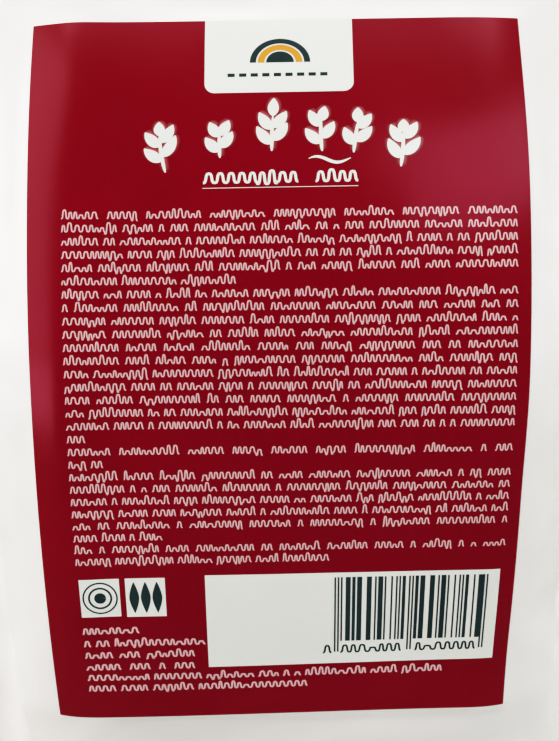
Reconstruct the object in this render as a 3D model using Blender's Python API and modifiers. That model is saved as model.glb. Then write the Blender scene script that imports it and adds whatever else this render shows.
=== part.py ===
"""White stand-up pouch, filled and sealed, with a burgundy label on its front.

The bag is drawn in film coordinates, measured as if it lay empty and flat:
"across" runs from the middle of the bag to its side edges, and "up" runs from
the bottom edge to the top edge.  The filled shape is worked out from two sets
of angles: how far the film leans back at each height, and how steeply it
slopes away towards the side seals.  The front faces -Y and the bag stands
on z = 0 with its middle over the origin.
"""

import math
from functools import lru_cache

import bmesh
import bpy
import numpy as np
from mathutils import Matrix, Vector

OBJECT_NAME = "stand_up_pouch"

# The empty bag, in metres.
BAG_WIDTH = 0.200
BAG_HEIGHT = 0.300
SIDE_SEAL = 0.008
SEAL_THICKNESS = 0.0005
CORNER_RADIUS = 0.006
GUSSET_HEIGHT = 0.040
BASE_SEAL_HEIGHT = 0.008
ZIP_BOTTOM = 0.254
ZIP_TOP = 0.266
ZIP_RISE = 0.0006
NOTCH_UP = 0.278
NOTCH_DEPTH = 0.003

# The label.
LABEL_WIDTH = 0.100
LABEL_HEIGHT = 0.150
LABEL_BOTTOM = 0.042
LABEL_THICKNESS = 0.00025
LABEL_GAP = 0.0003

# How far the filled film leans back, in degrees, at each height up the film.
LEAN = (
    (0.000, 3.0),
    (0.018, 0.0),
    (0.042, -4.2),
    (0.080, -1.2),
    (0.117, 5.0),
    (0.155, 12.6),
    (0.192, 19.4),
    (0.212, 20.0),
    (0.234, 9.0),
    (0.250, 0.0),
    (0.300, 0.0),
)

# Where the film starts to slope away to the sides, at each height.
SLOPE_START = (
    (0.000, 0.026),
    (0.042, 0.0385),
    (0.080, 0.0395),
    (0.117, 0.0395),
    (0.155, 0.0380),
    (0.192, 0.0300),
    (0.250, 0.0100),
)
SLOPE_FULL = 0.075
SLOPE_EASES = 0.080
SLOPE_AT_SEAL = 0.45

# How far the front is pressed back at the label's right-hand edge, and comes
# forward by as much at its left-hand edge, at each height.
FRONT_PRESS = (
    (0.000, 0.0000),
    (0.042, 0.0014),
    (0.080, 0.0006),
    (0.117, -0.0001),
    (0.155, -0.0003),
    (0.192, 0.0004),
    (0.240, 0.0000),
)

# The folded base between the two skirts.
BASE_FLAT_HALF = 0.045
BASE_FLAT_SHARE = 0.60
FOLD_RISE_POWER = 1.6
SEAL_RISE_POWER = 2.0

# How finely the surfaces are cut.
FILM_STEP = 0.0005
SIDE_COLUMNS = 7
LABEL_COLUMNS = 16
LABEL_ROWS = 20

WELD_DISTANCE = 0.000001
HALF_SEAL = SEAL_THICKNESS / 2
SEAL_INNER = BAG_WIDTH / 2 - SIDE_SEAL
LABEL_TOP = LABEL_BOTTOM + LABEL_HEIGHT

FILM_COLOUR = (0.83, 0.82, 0.80, 1.0)
FILM_ROUGHNESS = 0.55
LABEL_COLOUR = (0.17, 0.004, 0.010, 1.0)
LABEL_ROUGHNESS = 0.35
LABEL_COAT = 0.6
SHARP_ANGLE = 50.0


def smooth_step(low, high, value):
    """Rise smoothly from 0 at low to 1 at high."""
    share = min(1.0, max(0.0, (value - low) / (high - low)))
    return share * share * (3.0 - 2.0 * share)


def smooth_curve(knots, value):
    """Read a smooth curve through the knots, each a (place, height) pair.

    The curve never swings past a knot: it is level where the knots turn back.
    """
    places = [place for place, _ in knots]
    heights = [height for _, height in knots]
    last = len(knots) - 1

    def steepness(index):
        return (heights[index + 1] - heights[index]) / (places[index + 1] - places[index])

    def slope(index):
        before = steepness(max(0, index - 1))
        after = steepness(min(last - 1, index))
        if before * after <= 0.0:
            return 0.0
        return 2.0 * before * after / (before + after)

    if value <= places[0]:
        return heights[0]
    if value >= places[last]:
        return heights[last]
    index = max(i for i in range(last) if places[i] <= value)
    span = places[index + 1] - places[index]
    share = (value - places[index]) / span
    squared = share * share
    cubed = squared * share
    return (
        (2 * cubed - 3 * squared + 1) * heights[index]
        + (cubed - 2 * squared + share) * span * slope(index)
        + (3 * squared - 2 * cubed) * heights[index + 1]
        + (cubed - squared) * span * slope(index + 1)
    )


@lru_cache(maxsize=None)
def upright_profile():
    """Add up the leans into height and half depth along the middle of the bag."""
    up = np.arange(0.0, BAG_HEIGHT + FILM_STEP / 2, FILM_STEP)
    lean = np.radians([smooth_curve(LEAN, value) for value in up])
    rises = np.cos(lean) * FILM_STEP
    inward = np.sin(lean) * FILM_STEP
    height = np.concatenate(([0.0], np.cumsum((rises[1:] + rises[:-1]) / 2)))
    moved = np.concatenate(([0.0], np.cumsum((inward[1:] + inward[:-1]) / 2)))
    half_depth = HALF_SEAL + moved[-1] - moved
    return up, height, half_depth


def height_at(up):
    """Give the height above the ground of a place up the film."""
    places, height, _ = upright_profile()
    return float(np.interp(up, places, height))


def half_depth_at(up):
    """Give how far the middle of the film stands from the bag's middle plane."""
    places, _, half_depth = upright_profile()
    return float(np.interp(up, places, half_depth))


@lru_cache(maxsize=None)
def section(up):
    """Give the level section of the film from its middle to the side seal."""
    across = np.arange(0.0, SEAL_INNER + FILM_STEP / 2, FILM_STEP)
    start = smooth_curve(SLOPE_START, up)
    share = np.array([
        smooth_step(start, SLOPE_FULL, value)
        * (1.0 - (1.0 - SLOPE_AT_SEAL) * smooth_step(SLOPE_EASES, SEAL_INNER, value))
        for value in across
    ])
    wanted = half_depth_at(up) - HALF_SEAL

    def added(values):
        return np.concatenate(([0.0], np.cumsum((values[1:] + values[:-1]) / 2))) * FILM_STEP

    low, high = 0.0, math.radians(88.0)
    for _ in range(50):
        middle = (low + high) / 2
        if added(np.sin(middle * share))[-1] < wanted:
            low = middle
        else:
            high = middle
    angle = low * share
    return across, added(np.cos(angle)), added(np.sin(angle)), angle


def front_press(across, up):
    """Give how far the front is pushed back at a place, less at the side seals."""
    half_label = LABEL_WIDTH / 2
    sideways = (across / half_label) * (1.0 - (across / SEAL_INNER) ** 2)
    sideways /= 1.0 - (half_label / SEAL_INNER) ** 2
    return smooth_curve(FRONT_PRESS, up) * sideways


def corner_inset(up):
    """Round the bag's corners: how far the side edge stands in."""
    from_end = min(up, BAG_HEIGHT - up)
    if from_end >= CORNER_RADIUS:
        return 0.0
    missing = CORNER_RADIUS - from_end
    return CORNER_RADIUS - math.sqrt(CORNER_RADIUS ** 2 - missing ** 2)


def film_point(across, up, side):
    """Place a point of the film; side is -1 for the front, 1 for the back."""
    places, widths, drops, _ = section(round(up, 6))
    out = min(abs(across), SEAL_INNER)
    width = float(np.interp(out, places, widths))
    depth = half_depth_at(up) - float(np.interp(out, places, drops))
    if abs(across) > SEAL_INNER:
        edge = BAG_WIDTH / 2 - corner_inset(up)
        share = (abs(across) - SEAL_INNER) / SIDE_SEAL
        width += (edge - SEAL_INNER) * share
        depth = HALF_SEAL
    y = side * depth
    if side < 0 and abs(across) < SEAL_INNER:
        y += front_press(across, up) * smooth_step(HALF_SEAL, SIDE_SEAL, depth)
    if ZIP_BOTTOM < up < ZIP_TOP and abs(across) < SEAL_INNER:
        y += side * ZIP_RISE
    return Vector((math.copysign(width, across), y, height_at(up)))


def film_normal(across, up, side):
    """Give the outward direction of the film at a point."""
    step = FILM_STEP
    sideways = film_point(across + step, up, side) - film_point(across - step, up, side)
    upward = film_point(across, up + step, side) - film_point(across, up - step, side)
    normal = sideways.cross(upward) if side < 0 else upward.cross(sideways)
    return normal.normalized()


def stations(*stretches):
    """Space out places evenly over each (from, to, count) stretch."""
    places = [stretches[0][0]]
    for low, high, count in stretches:
        for index in range(1, count + 1):
            places.append(low + (high - low) * index / count)
    return places


def add_sheet(bm, columns, rows, place):
    """Add a grid whose vertex in column i and row j stands at place(i, j)."""
    made = bmesh.ops.create_grid(bm, x_segments=columns, y_segments=rows, size=0.5)
    for vertex in made["verts"]:
        column = round((vertex.co.x + 0.5) * columns)
        row = round((vertex.co.y + 0.5) * rows)
        vertex.co = place(column, row)


def bag_columns():
    """List the places across the film where the bag's mesh has its columns."""
    half_label = LABEL_WIDTH / 2
    half_bag = BAG_WIDTH / 2
    return stations(
        (-half_bag, -SEAL_INNER, 1),
        (-SEAL_INNER, -half_label, SIDE_COLUMNS),
        (-half_label, half_label, LABEL_COLUMNS),
        (half_label, SEAL_INNER, SIDE_COLUMNS),
        (SEAL_INNER, half_bag, 1),
    )


def bag_rows():
    """List the places up the film where the bag's mesh has its rows."""
    edge = 0.0003
    return stations(
        (0.0, CORNER_RADIUS, 2),
        (CORNER_RADIUS, BASE_SEAL_HEIGHT, 1),
        (BASE_SEAL_HEIGHT, LABEL_BOTTOM, 5),
        (LABEL_BOTTOM, LABEL_TOP, LABEL_ROWS),
        (LABEL_TOP, ZIP_BOTTOM, 8),
        (ZIP_BOTTOM, ZIP_BOTTOM + edge, 1),
        (ZIP_BOTTOM + edge, ZIP_TOP - edge, 1),
        (ZIP_TOP - edge, ZIP_TOP, 1),
        (ZIP_TOP, BAG_HEIGHT - CORNER_RADIUS, 3),
        (BAG_HEIGHT - CORNER_RADIUS, BAG_HEIGHT, 2),
    )


def seal_line(across):
    """Give how high the base seal reaches, which is highest at the side seals."""
    share = min(1.0, abs(across) / SEAL_INNER)
    return BASE_SEAL_HEIGHT + (GUSSET_HEIGHT - BASE_SEAL_HEIGHT) * share ** SEAL_RISE_POWER


def fold_line(across):
    """Give the height of the base's middle fold, which lies flat in the middle."""
    beyond = max(0.0, abs(across) - BASE_FLAT_HALF) / (SEAL_INNER - BASE_FLAT_HALF)
    return GUSSET_HEIGHT * min(1.0, beyond) ** FOLD_RISE_POWER


def skirt_inside(across, up, side):
    """Place a point on the inner face of a skirt."""
    outer = film_point(across, up, side)
    if abs(across) >= SEAL_INNER - WELD_DISTANCE:
        return Vector((outer.x, 0.0, outer.z))
    places, _, _, angles = section(round(up, 6))
    slope = float(np.interp(abs(across), places, angles))
    inward_x = -math.copysign(math.sin(slope), across) * SEAL_THICKNESS
    inward_y = -side * math.cos(slope) * SEAL_THICKNESS
    return outer + Vector((inward_x, inward_y, 0.0))


# Each row of the base: the skirt's side, then either the share of the way up
# the skirt, or the share of the way from the middle fold out to the skirt.
SKIRT_SHARES = (0.0, 0.5, 1.0)
GUSSET_SHARES = (0.88, BASE_FLAT_SHARE, 0.30)


def base_point(across, row):
    """Place a point of the base, seen from below, row by row front to back."""
    per_side = len(SKIRT_SHARES) + len(GUSSET_SHARES)
    side = -1 if row < per_side else 1
    step = row if side < 0 else 2 * per_side - row
    if row == per_side:
        at_seal = skirt_inside(across, seal_line(across), -1)
        return Vector((at_seal.x, 0.0, fold_line(across)))
    if step < len(SKIRT_SHARES):
        return skirt_inside(across, seal_line(across) * SKIRT_SHARES[step], side)
    share = GUSSET_SHARES[step - len(SKIRT_SHARES)]
    at_seal = skirt_inside(across, seal_line(across), side)
    rise = smooth_step(BASE_FLAT_SHARE, 1.0, share)
    height = fold_line(across) + (at_seal.z - fold_line(across)) * rise
    return Vector((at_seal.x, at_seal.y * share, height))


def build_bag(collection, material):
    """Build the closed bag: two films, their edges, the skirts and the base."""
    bm = bmesh.new()
    columns = bag_columns()
    rows = bag_rows()
    last_column = len(columns) - 1
    last_row = len(rows) - 1

    for side in (-1, 1):
        add_sheet(bm, last_column, last_row,
                  lambda i, j, side=side: film_point(columns[i], rows[j], side))

    def edge_point(across, up, layer):
        outer = film_point(across, up, -1 if layer == 0 else 1)
        return Vector((outer.x, (layer - 1) * HALF_SEAL, outer.z))

    for across in (columns[0], columns[last_column]):
        add_sheet(bm, last_row, 2, lambda j, layer, across=across: edge_point(across, rows[j], layer))
    add_sheet(bm, last_column, 2, lambda i, layer: edge_point(columns[i], BAG_HEIGHT, layer))
    for ends in ((columns[0], columns[1]), (columns[-2], columns[-1])):
        add_sheet(bm, 1, 2, lambda i, layer, ends=ends: edge_point(ends[i], 0.0, layer))

    inner = columns[1:-1]
    for side in (-1, 1):
        add_sheet(
            bm, len(inner) - 1, 1,
            lambda i, j, side=side: (film_point, skirt_inside)[j](inner[i], 0.0, side),
        )
    base_rows = 2 * (len(SKIRT_SHARES) + len(GUSSET_SHARES))
    add_sheet(bm, len(inner) - 1, base_rows, lambda i, row: base_point(inner[i], row))

    bmesh.ops.remove_doubles(bm, verts=bm.verts, dist=WELD_DISTANCE)
    bmesh.ops.dissolve_degenerate(bm, edges=bm.edges, dist=WELD_DISTANCE)
    bmesh.ops.recalc_face_normals(bm, faces=bm.faces)
    return add_object("pouch", bm, collection, material)


def build_label(collection, material):
    """Build the label as a thin shell that follows the front film."""
    bm = bmesh.new()
    half = LABEL_WIDTH / 2

    def place(column, row):
        across = -half + LABEL_WIDTH * column / LABEL_COLUMNS
        up = LABEL_BOTTOM + LABEL_HEIGHT * row / LABEL_ROWS
        return film_point(across, up, -1) + film_normal(across, up, -1) * LABEL_GAP

    add_sheet(bm, LABEL_COLUMNS, LABEL_ROWS, place)
    bmesh.ops.recalc_face_normals(bm, faces=bm.faces)
    if sum(face.normal.y for face in bm.faces) > 0.0:
        bmesh.ops.reverse_faces(bm, faces=bm.faces)
    label = add_object("label", bm, collection, material)
    shell = label.modifiers.new("thickness", "SOLIDIFY")
    shell.thickness = LABEL_THICKNESS
    shell.offset = 1.0
    shell.use_even_offset = True
    return label


def cut_tear_notches(bag, cutters):
    """Nick both side seals just above the zip, where the bag is torn open."""
    lay_down = Matrix.Rotation(math.radians(90.0), 4, "X")
    for side, name in ((-1, "notch_cutter_left"), (1, "notch_cutter_right")):
        bm = bmesh.new()
        bmesh.ops.create_cone(
            bm, cap_ends=True, segments=3, radius1=NOTCH_DEPTH, radius2=NOTCH_DEPTH,
            depth=SEAL_THICKNESS * 8,
            matrix=lay_down @ Matrix.Rotation(math.radians(side * 90.0), 4, "Z"),
        )
        cutter = add_object(name, bm, cutters)
        cutter.location = (side * BAG_WIDTH / 2, 0.0, height_at(NOTCH_UP))
        cutter.hide_render = True
        cutter.display_type = "WIRE"
        cut = bag.modifiers.new(name, "BOOLEAN")
        cut.operation = "DIFFERENCE"
        cut.solver = "EXACT"
        cut.object = cutter


def make_material(name, colour, roughness, coat):
    """Make a plain dielectric finish, coated where it is laminated."""
    material = bpy.data.materials.new(name)
    material.use_nodes = True
    shader = material.node_tree.nodes["Principled BSDF"]
    shader.inputs["Base Color"].default_value = colour
    shader.inputs["Roughness"].default_value = roughness
    shader.inputs["Metallic"].default_value = 0.0
    shader.inputs["Coat Weight"].default_value = coat
    return material


def add_object(name, bm, collection, material=None):
    """Turn a bmesh into a smooth-shaded object of its own."""
    mesh = bpy.data.meshes.new(name)
    bm.to_mesh(mesh)
    bm.free()
    mesh.shade_smooth()
    mesh.set_sharp_from_angle(angle=math.radians(SHARP_ANGLE))
    if material is not None:
        mesh.materials.append(material)
    made = bpy.data.objects.new(name, mesh)
    collection.objects.link(made)
    return made


def new_collection(name):
    """Add an empty collection to the scene."""
    collection = bpy.data.collections.new(name)
    bpy.context.scene.collection.children.link(collection)
    return collection


def clear_scene():
    """Remove whatever the opened scene holds."""
    for old in list(bpy.data.objects):
        bpy.data.objects.remove(old, do_unlink=True)


def main():
    """Build the pouch and its label."""
    clear_scene()
    parts = new_collection(OBJECT_NAME)
    cutters = new_collection(OBJECT_NAME + "_cutters")
    film = make_material("white_film", FILM_COLOUR, FILM_ROUGHNESS, 0.0)
    paper = make_material("burgundy_label", LABEL_COLOUR, LABEL_ROUGHNESS, LABEL_COAT)
    bag = build_bag(parts, film)
    cut_tear_notches(bag, cutters)
    build_label(parts, paper)


main()
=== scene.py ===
"""Looks, camera and light for the white stand-up pouch with a burgundy label.

The bag is drawn in film coordinates, as its solid is: "across" runs from the
middle of the bag to its side edges, and "up" runs from the bottom edge to the
top edge, both measured as if the bag lay empty and flat.  Places on the label
are given from its top left corner: "right" and "down".  Lengths are metres.
"""

from __future__ import annotations

import logging
import math
from dataclasses import dataclass, field
from enum import Enum
from functools import cached_property

import bpy
import numpy as np
from mathutils import Matrix, Vector, noise


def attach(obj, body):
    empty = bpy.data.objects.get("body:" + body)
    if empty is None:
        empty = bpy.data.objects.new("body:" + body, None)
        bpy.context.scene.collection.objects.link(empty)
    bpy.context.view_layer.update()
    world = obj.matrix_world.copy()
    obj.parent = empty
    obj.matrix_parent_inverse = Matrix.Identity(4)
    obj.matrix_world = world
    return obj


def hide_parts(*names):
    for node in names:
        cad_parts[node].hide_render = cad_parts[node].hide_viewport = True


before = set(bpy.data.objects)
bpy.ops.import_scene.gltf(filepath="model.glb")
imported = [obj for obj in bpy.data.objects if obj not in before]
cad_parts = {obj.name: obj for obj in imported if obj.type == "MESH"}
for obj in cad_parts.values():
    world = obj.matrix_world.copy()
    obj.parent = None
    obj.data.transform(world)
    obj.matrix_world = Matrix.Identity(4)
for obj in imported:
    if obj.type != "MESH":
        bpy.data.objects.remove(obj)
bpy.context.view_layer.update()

LOG = logging.getLogger("stand_up_pouch")
BODY = "root"
MM = 0.001
Values = float | np.ndarray
Pair = tuple[np.ndarray, np.ndarray]
Faces = list[list[int]]
Couple = tuple[float, float]
Triple = tuple[float, float, float]
Rgb = Triple
Rgba = tuple[float, float, float, float]
Box = tuple[float, float, float, float]
Socket = bpy.types.NodeSocket


class Side(Enum):
    """The two films of the bag, by the way they face along Y."""

    FRONT = -1
    BACK = 1


class Slot(Enum):
    """Names for the pouch's finishes."""

    FILM = "white_film"
    LABEL = "burgundy_label"
    WHITE = "white_print"
    DARK = "dark_print"
    AMBER = "amber_print"


def smooth_step(low: Values, high: Values, value: Values) -> Values:
    """Rise smoothly from 0 where the value is low to 1 where it is high."""
    share = np.clip((value - low) / (high - low), 0.0, 1.0)
    return share * share * (3.0 - 2.0 * share)


def plateau(value: np.ndarray, half: float, flat: float = 0.45, gone: float = 1.25) -> np.ndarray:
    """Give 1 in the middle, falling smoothly to 0 beyond the half length."""
    return 1.0 - smooth_step(flat * half, gone * half, abs(value))


def stations(knots: tuple[float, ...], steps: tuple[int, ...]) -> np.ndarray:
    """Space out places evenly between knots, with a count of steps for each stretch."""
    runs = [np.linspace(*ends, count + 1)[1:] for *ends, count in zip(knots, knots[1:], steps)]
    return np.concatenate([knots[:1], *runs])


@dataclass(frozen=True)
class SmoothCurve:
    """A smooth curve through (place, height) knots that never swings past one."""

    knots: tuple[Couple, ...]

    @cached_property
    def slopes(self) -> np.ndarray:
        """Work out the curve's slope at each knot, level where the knots turn back.

        Returns:
            The slopes.
        """
        places, heights = np.array(self.knots).T
        steep = np.diff(heights) / np.diff(places)
        before = np.concatenate([steep[:1], steep])
        after = np.concatenate([steep, steep[-1:]])
        turning = before * after <= 0.0
        total = np.where(turning, 1.0, before + after)
        return np.where(turning, 0.0, 2.0 * before * after / total)

    def read(self, value: Values) -> Values:
        """Read the curve.

        Args:
            value: A place, or an array of places.

        Returns:
            The height there.
        """
        places, heights = np.array(self.knots).T
        value = np.clip(value, places[0], places[-1])
        index = np.clip(np.searchsorted(places, value, side="right") - 1, 0, len(places) - 2)
        span = places[index + 1] - places[index]
        share = (value - places[index]) / span
        squared, cubed = share ** 2, share ** 3
        return (
            (2 * cubed - 3 * squared + 1) * heights[index]
            + (cubed - 2 * squared + share) * span * self.slopes[index]
            + (3 * squared - 2 * cubed) * heights[index + 1]
            + (cubed - squared) * span * self.slopes[index + 1]
        )


def added_up(values: np.ndarray, step: float) -> np.ndarray:
    """Add up values along the last axis by the trapezium rule.

    Args:
        values: The values, a step apart.
        step: The distance between them.

    Returns:
        The running sums, which start at 0.
    """
    parts = (values[..., 1:] + values[..., :-1]) * (step / 2)
    start = np.zeros(values.shape[:-1] + (1,))
    return np.concatenate([start, np.cumsum(parts, axis=-1)], axis=-1)


@dataclass(frozen=True)
class FilmForm:
    """The filled bag's form, the same as its solid's."""

    bag_width: float = 0.200
    bag_height: float = 0.300
    side_seal: float = 0.008
    half_seal: float = 0.00025
    corner_radius: float = 0.006
    gusset_height: float = 0.040
    base_seal_height: float = 0.008
    base_flat_half: float = 0.045
    fold_rise_power: float = 1.6
    notch_up: float = 0.278
    notch_depth: float = 0.003
    notch_half: float = 0.00173
    table_step: float = 0.0005
    steepest: float = 88.0
    halvings: int = 50
    lean: SmoothCurve = SmoothCurve((
        (0.000, 3.0), (0.018, 0.0), (0.042, -4.2), (0.080, -1.2), (0.117, 5.0), (0.155, 12.6),
        (0.192, 19.4), (0.212, 20.0), (0.234, 9.0), (0.250, 0.0), (0.300, 0.0),
    ))
    slope_start: SmoothCurve = SmoothCurve((
        (0.000, 0.026), (0.042, 0.0385), (0.080, 0.0395), (0.117, 0.0395), (0.155, 0.0380),
        (0.192, 0.0300), (0.250, 0.0100),
    ))
    slope_full: float = 0.075
    slope_eases: float = 0.080
    slope_at_seal: float = 0.45
    press: SmoothCurve = SmoothCurve((
        (0.000, 0.0000), (0.042, 0.0014), (0.080, 0.0006), (0.117, -0.0001), (0.155, -0.0003),
        (0.192, 0.0004), (0.240, 0.0000),
    ))
    press_half: float = 0.050

    @property
    def seal_inner(self) -> float:
        """How far from the middle the side seals begin."""
        return self.bag_width / 2 - self.side_seal

    @cached_property
    def profile(self) -> tuple[np.ndarray, np.ndarray, np.ndarray]:
        """Work out the middle of the film.

        Returns:
            The places up it, and the heights and half depths there.
        """
        up = np.arange(0.0, self.bag_height + self.table_step / 2, self.table_step)
        lean = np.radians(self.lean.read(up))
        height = added_up(np.cos(lean), self.table_step)
        moved = added_up(np.sin(lean), self.table_step)
        return up, height, self.half_seal + moved[-1] - moved

    def height_at(self, up: Values) -> Values:
        """Give the height above the ground of places up the film."""
        return np.interp(up, self.profile[0], self.profile[1])

    def half_depth_at(self, up: Values) -> Values:
        """Give how far the middle of the film stands from the middle plane."""
        return np.interp(up, self.profile[0], self.profile[2])

    def sections(self, up: np.ndarray) -> tuple[np.ndarray, np.ndarray, np.ndarray]:
        """Work out the level sections of the film.

        Args:
            up: The places up the film.

        Returns:
            The places across the film, and the widths and drops there, a row a section.
        """
        across = np.arange(0.0, self.seal_inner + self.table_step / 2, self.table_step)
        start = self.slope_start.read(up)[:, None]
        easing = smooth_step(self.slope_eases, self.seal_inner, across)
        eased = 1.0 - (1.0 - self.slope_at_seal) * easing
        share = smooth_step(start, self.slope_full, across) * eased
        wanted = self.half_depth_at(up) - self.half_seal
        low = np.zeros(len(up))
        high = np.full(len(up), math.radians(self.steepest))
        for _ in range(self.halvings):
            middle = (low + high) / 2
            short = added_up(np.sin(middle[:, None] * share), self.table_step)[:, -1] < wanted
            low = np.where(short, middle, low)
            high = np.where(short, high, middle)
        angle = low[:, None] * share
        widths = added_up(np.cos(angle), self.table_step)
        return across, widths, added_up(np.sin(angle), self.table_step)

    def edge_at(self, up: np.ndarray) -> np.ndarray:
        """Work out the bag's outline, rounded at its corners and notched.

        Args:
            up: The places up the film.

        Returns:
            How far from the middle the edge is at each.
        """
        from_end = np.minimum(up, self.bag_height - up)
        missing = np.clip(self.corner_radius - from_end, 0.0, self.corner_radius)
        inset = self.corner_radius - np.sqrt(self.corner_radius ** 2 - missing ** 2)
        beside = abs(up - self.notch_up) / self.notch_half
        return self.bag_width / 2 - inset - self.notch_depth * np.clip(1.0 - beside, 0.0, 1.0)

    def points(self, across: np.ndarray, up: np.ndarray, side: Side) -> np.ndarray:
        """Place a grid of points on the film.

        Args:
            across: The places of its columns.
            up: The places of its rows.
            side: Which film.

        Returns:
            The points, by row, column and axis.
        """
        places, widths, drops = self.sections(up)
        inner = np.minimum(abs(across), self.seal_inner)
        width = np.array([np.interp(inner, places, row) for row in widths])
        drop = np.array([np.interp(inner, places, row) for row in drops])
        depth = self.half_depth_at(up)[:, None] - drop
        in_seal = abs(across) > self.seal_inner
        share = np.clip((abs(across) - self.seal_inner) / self.side_seal, 0.0, 1.0)
        width = width + (self.edge_at(up)[:, None] - self.seal_inner) * share[None, :]
        depth = np.where(in_seal[None, :], self.half_seal, depth)
        y = side.value * depth
        if side is Side.FRONT:
            sideways = (across / self.press_half) * (1.0 - (across / self.seal_inner) ** 2)
            sideways /= 1.0 - (self.press_half / self.seal_inner) ** 2
            pressed = self.press.read(up)[:, None] * np.where(in_seal, 0.0, sideways)[None, :]
            y = y + pressed * smooth_step(self.half_seal, self.side_seal, depth)
        heights = np.broadcast_to(self.height_at(up)[:, None], y.shape)
        return np.stack([np.sign(across)[None, :] * width, y, heights], axis=-1)

    def seal_line(self, across: Values) -> Values:
        """Give how high the base seal reaches, which is highest at the side seals."""
        share = np.minimum(1.0, abs(across) / self.seal_inner)
        return self.base_seal_height + (self.gusset_height - self.base_seal_height) * share ** 2

    def fold_line(self, across: Values) -> Values:
        """Give the height of the base's middle fold, which lies flat in the middle."""
        beyond = (abs(across) - self.base_flat_half) / (self.seal_inner - self.base_flat_half)
        return self.gusset_height * np.clip(beyond, 0.0, 1.0) ** self.fold_rise_power


def grid_normals(points: np.ndarray, side: Side) -> np.ndarray:
    """Give the outward normals of a grid of points.

    Args:
        points: The points, by row, column and axis.
        side: Which way the grid faces.

    Returns:
        The unit normals, by row, column and axis.
    """
    along = np.gradient(points, axis=1)
    rising = np.gradient(points, axis=0)
    normals = np.cross(along, rising) * -side.value
    return normals / np.maximum(np.linalg.norm(normals, axis=-1, keepdims=True), 1e-12)


def spline_weights(knots: np.ndarray, places: np.ndarray) -> np.ndarray:
    """Weigh coarse knots so that they give a smooth curve at finer places.

    Args:
        knots: The coarse places, in order.
        places: The fine places.

    Returns:
        A matrix with a row for each place and a column for each knot.
    """
    last = len(knots) - 1
    index = np.clip(np.searchsorted(knots, places, side="right") - 1, 0, last - 1)
    span = knots[index + 1] - knots[index]
    share = np.clip((places - knots[index]) / span, 0.0, 1.0)
    squared, cubed = share ** 2, share ** 3
    weights = np.zeros((len(places), len(knots)))
    rows = np.arange(len(places))
    np.add.at(weights, (rows, index), 2 * cubed - 3 * squared + 1)
    np.add.at(weights, (rows, index + 1), 3 * squared - 2 * cubed)
    for at, tangent in ((index, cubed - 2 * squared + share), (index + 1, cubed - squared)):
        before = np.maximum(at - 1, 0)
        after = np.minimum(at + 1, last)
        slope = tangent * span / (knots[after] - knots[before])
        np.add.at(weights, (rows, after), slope)
        np.add.at(weights, (rows, before), -slope)
    return weights


def noise_grid(across: np.ndarray, up: np.ndarray, size: float, seed: float) -> np.ndarray:
    """Give smooth noise, about -1 to 1, over a grid of film places."""
    values = [[noise.noise(Vector((x / size, z / size, seed))) for x in across] for z in up]
    return np.array(values)


def layered_noise(
    across: np.ndarray, up: np.ndarray, layers: tuple[Triple, ...], side: Side,
) -> np.ndarray:
    """Add up layers of noise, each with its size, its share and its seed."""
    way = side.value
    return sum(share * noise_grid(across, up, size, seed * way) for size, share, seed in layers)


def new_object(
    name: str, points: np.ndarray, faces: Faces, material: bpy.types.Material,
) -> bpy.types.Object:
    """Make a smooth-shaded mesh object.

    Args:
        name: The piece's name.
        points: The vertices.
        faces: The faces, as lists of vertex numbers.
        material: Its finish.

    Returns:
        The object, in the scene.
    """
    mesh = bpy.data.meshes.new(name)
    mesh.from_pydata([tuple(point) for point in points], [], faces)
    mesh.update()
    mesh.shade_smooth()
    mesh.materials.append(material)
    made = bpy.data.objects.new(name, mesh)
    bpy.context.scene.collection.objects.link(made)
    LOG.info("%s: %d faces", name, len(faces))
    return made


def fit_to_body(piece: bpy.types.Object, slot: Slot, *nodes: str) -> None:
    """Make a piece ride on the pouch, and hide the solids that it stands for.

    Args:
        piece: The piece.
        slot: Not used.
        *nodes: The solids that it stands for.
    """
    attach(piece, BODY)
    if nodes:
        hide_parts(*nodes)


def grid_faces(rows: int, columns: int, start: int = 0, flip: bool = False) -> Faces:
    """List the faces of a grid of vertices.

    Args:
        rows: How many rows of vertices.
        columns: How many columns of vertices.
        start: The number of its first vertex.
        flip: Turn the faces round.

    Returns:
        The faces.
    """
    faces = []
    for row in range(rows - 1):
        for column in range(columns - 1):
            corner = start + row * columns + column
            face = [corner, corner + 1, corner + columns + 1, corner + columns]
            faces.append(face[::-1] if flip else face)
    return faces


# ---------------------------------------------------------------- finishes


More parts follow.
